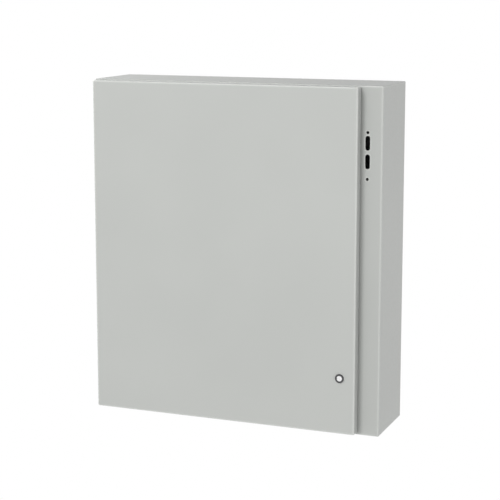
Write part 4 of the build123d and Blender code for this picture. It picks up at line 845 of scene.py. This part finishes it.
def duct_leads():
    """Leads between the upright duct and the devices on each side of it."""
    left, right = UPRIGHT_DUCT_LEFT, UPRIGHT_DUCT_RIGHT
    leads = []
    for k in range(6):
        z = -190.0 + 12.0 * k
        leads.append(corner_lead(144.0 + 8.0 * k, -222.0, 50.0, z, right))
        leads.append(corner_lead(96.0 - 8.0 * k, -222.0, 50.0, z, left))
    for k in range(5):
        leads.append(corner_lead(170.0 + 7.6 * k, 170.0, 54.0, 158.0 - 12.0 * k, right))
    for k in range(3):
        leads.append(corner_lead(92.0 - 8.0 * k, 74.0, 60.0, 50.0 - 12.0 * k, left))
    for routes, duct_x in ((SOLENOID_LEADS, left), (TRANSFORMER_LEADS, right)):
        for route in routes:
            leads.append(route + [(duct_x, UPRIGHT_DUCT_DEPTH, route[-1][2])])
    return leads


def make_leads(finishes):
    """The control wiring, one piece for each colour of insulation, the colours well mixed."""
    builds = [bmesh.new() for _ in LEAD_SLOTS]
    for number, points in enumerate(rail_leads() + duct_leads()):
        add_lead(builds[(number * 5 + number // 4) % len(LEAD_SLOTS)], points)
    for slot, build in zip(LEAD_SLOTS, builds):
        piece("control_leads_" + slot, build, "enclosure", slot, finishes)


# ---------------------------------------------------------------- controller

PLUGS, PLUG_PITCH = 12, 7.6
PLUG_HALF_WIDTH = 3.7
PLUG_SCREW_RADIUS = 2.2
PLUG_TURN_STEP = 53


def make_controller_plugs(finishes):
    """Pluggable terminal blocks under the controller, with their screws."""
    (left, back, bottom), _ = corners("controller_housing")
    plug_back, plug_front = back + 17.0, back + 37.0
    blocks, screws = bmesh.new(), bmesh.new()
    for k in range(PLUGS):
        x = left + 18.0 + PLUG_PITCH * k
        add_block(
            blocks,
            (x - PLUG_HALF_WIDTH, plug_back, bottom - 9.5),
            (x + PLUG_HALF_WIDTH, plug_front, bottom + 1.0),
            0.6,
        )
        place = facing_front(x, plug_front - 0.2, bottom - 4.5)
        turn = math.radians(k * PLUG_TURN_STEP % 180)
        add_slotted_head(screws, place, PLUG_SCREW_RADIUS, 0.0, 1.0, turn)
    piece("controller_plugs", blocks, "enclosure", "terminal_grey", finishes)
    piece("controller_plug_screws", screws, "enclosure", "zinc_steel", finishes)


# Bars of the diagram, measured from the display's middle: left, bottom, right and top.
SOURCE_BARS = (
    (22.0, 8.0, 38.0, 17.0),
    (4.0, 12.0, 22.0, 13.0),
    (4.0, 2.0, 5.0, 13.0),
)
LOAD_BARS = (
    (-4.0, -6.0, 3.0, -5.0),
    (-0.5, -14.0, 0.5, -5.0),
    (-8.0, -18.0, 8.0, -14.0),
)
BAR_BACK, BAR_FRONT = -0.4, 0.15


def make_display_mimic(finishes):
    """Plain one-line diagram on the display: two sources, a changeover and a load."""
    centre_x, _, centre_z = middle("display_lens")
    glass = front("display_lens")
    bars = []
    for left, bottom, right, top in SOURCE_BARS:
        bars.append((-right, bottom, -left, top))
        bars.append((left, bottom, right, top))
    bars.extend(LOAD_BARS)
    build = bmesh.new()
    for left, bottom, right, top in bars:
        add_block(
            build,
            (centre_x + left, glass + BAR_BACK, centre_z + bottom),
            (centre_x + right, glass + BAR_FRONT, centre_z + top),
            0.08,
        )
    piece("display_mimic", build, "enclosure", "black_plastic", finishes)


# ---------------------------------------------------------------- door pocket

LEAVES = 3
LEAF_THICKNESS = 0.5
LEAF_STEPS = 24
LEAF_BOW = 0.9


def make_papers(finishes):
    """Folded drawings that stand a little out of the door pocket."""
    (pocket_left, _, pocket_bottom), (pocket_right, door_side, pocket_rim) = corners(
        "document_pocket"
    )
    bottom = pocket_bottom + 9.0
    build = bmesh.new()
    for leaf in range(LEAVES):
        top = pocket_rim + 16.0 - 3.5 * leaf
        back = door_side - 5.6 - 1.7 * leaf
        left = pocket_left + 17.0 + 3.0 * leaf
        right = pocket_right - 19.0 + 2.0 * leaf
        rings = []
        for k in range(LEAF_STEPS + 1):
            share = k / LEAF_STEPS
            z = bottom + share * (top - bottom)
            depth = back + LEAF_BOW * math.sin(math.pi * share * 1.4 + leaf)
            rings.append(
                [
                    at(left, depth, z),
                    at(right, depth, z),
                    at(right, depth + LEAF_THICKNESS, z),
                    at(left, depth + LEAF_THICKNESS, z),
                ]
            )
        add_shell(build, rings)
    bmesh.ops.recalc_face_normals(build, faces=build.faces)
    piece("pocket_papers", build, "door", "device_white", finishes)


make_camera()
make_world()
make_floor()
make_lights()
finish_table = make_finishes()
dress_nodes(finish_table)
make_cam_screw(finish_table)
make_device_screws(finish_table)
make_leads(finish_table)
make_relay_insides(finish_table)
make_controller_plugs(finish_table)
make_display_mimic(finish_table)
make_papers(finish_table)

bpy.context.scene.view_settings.view_transform = "Standard"
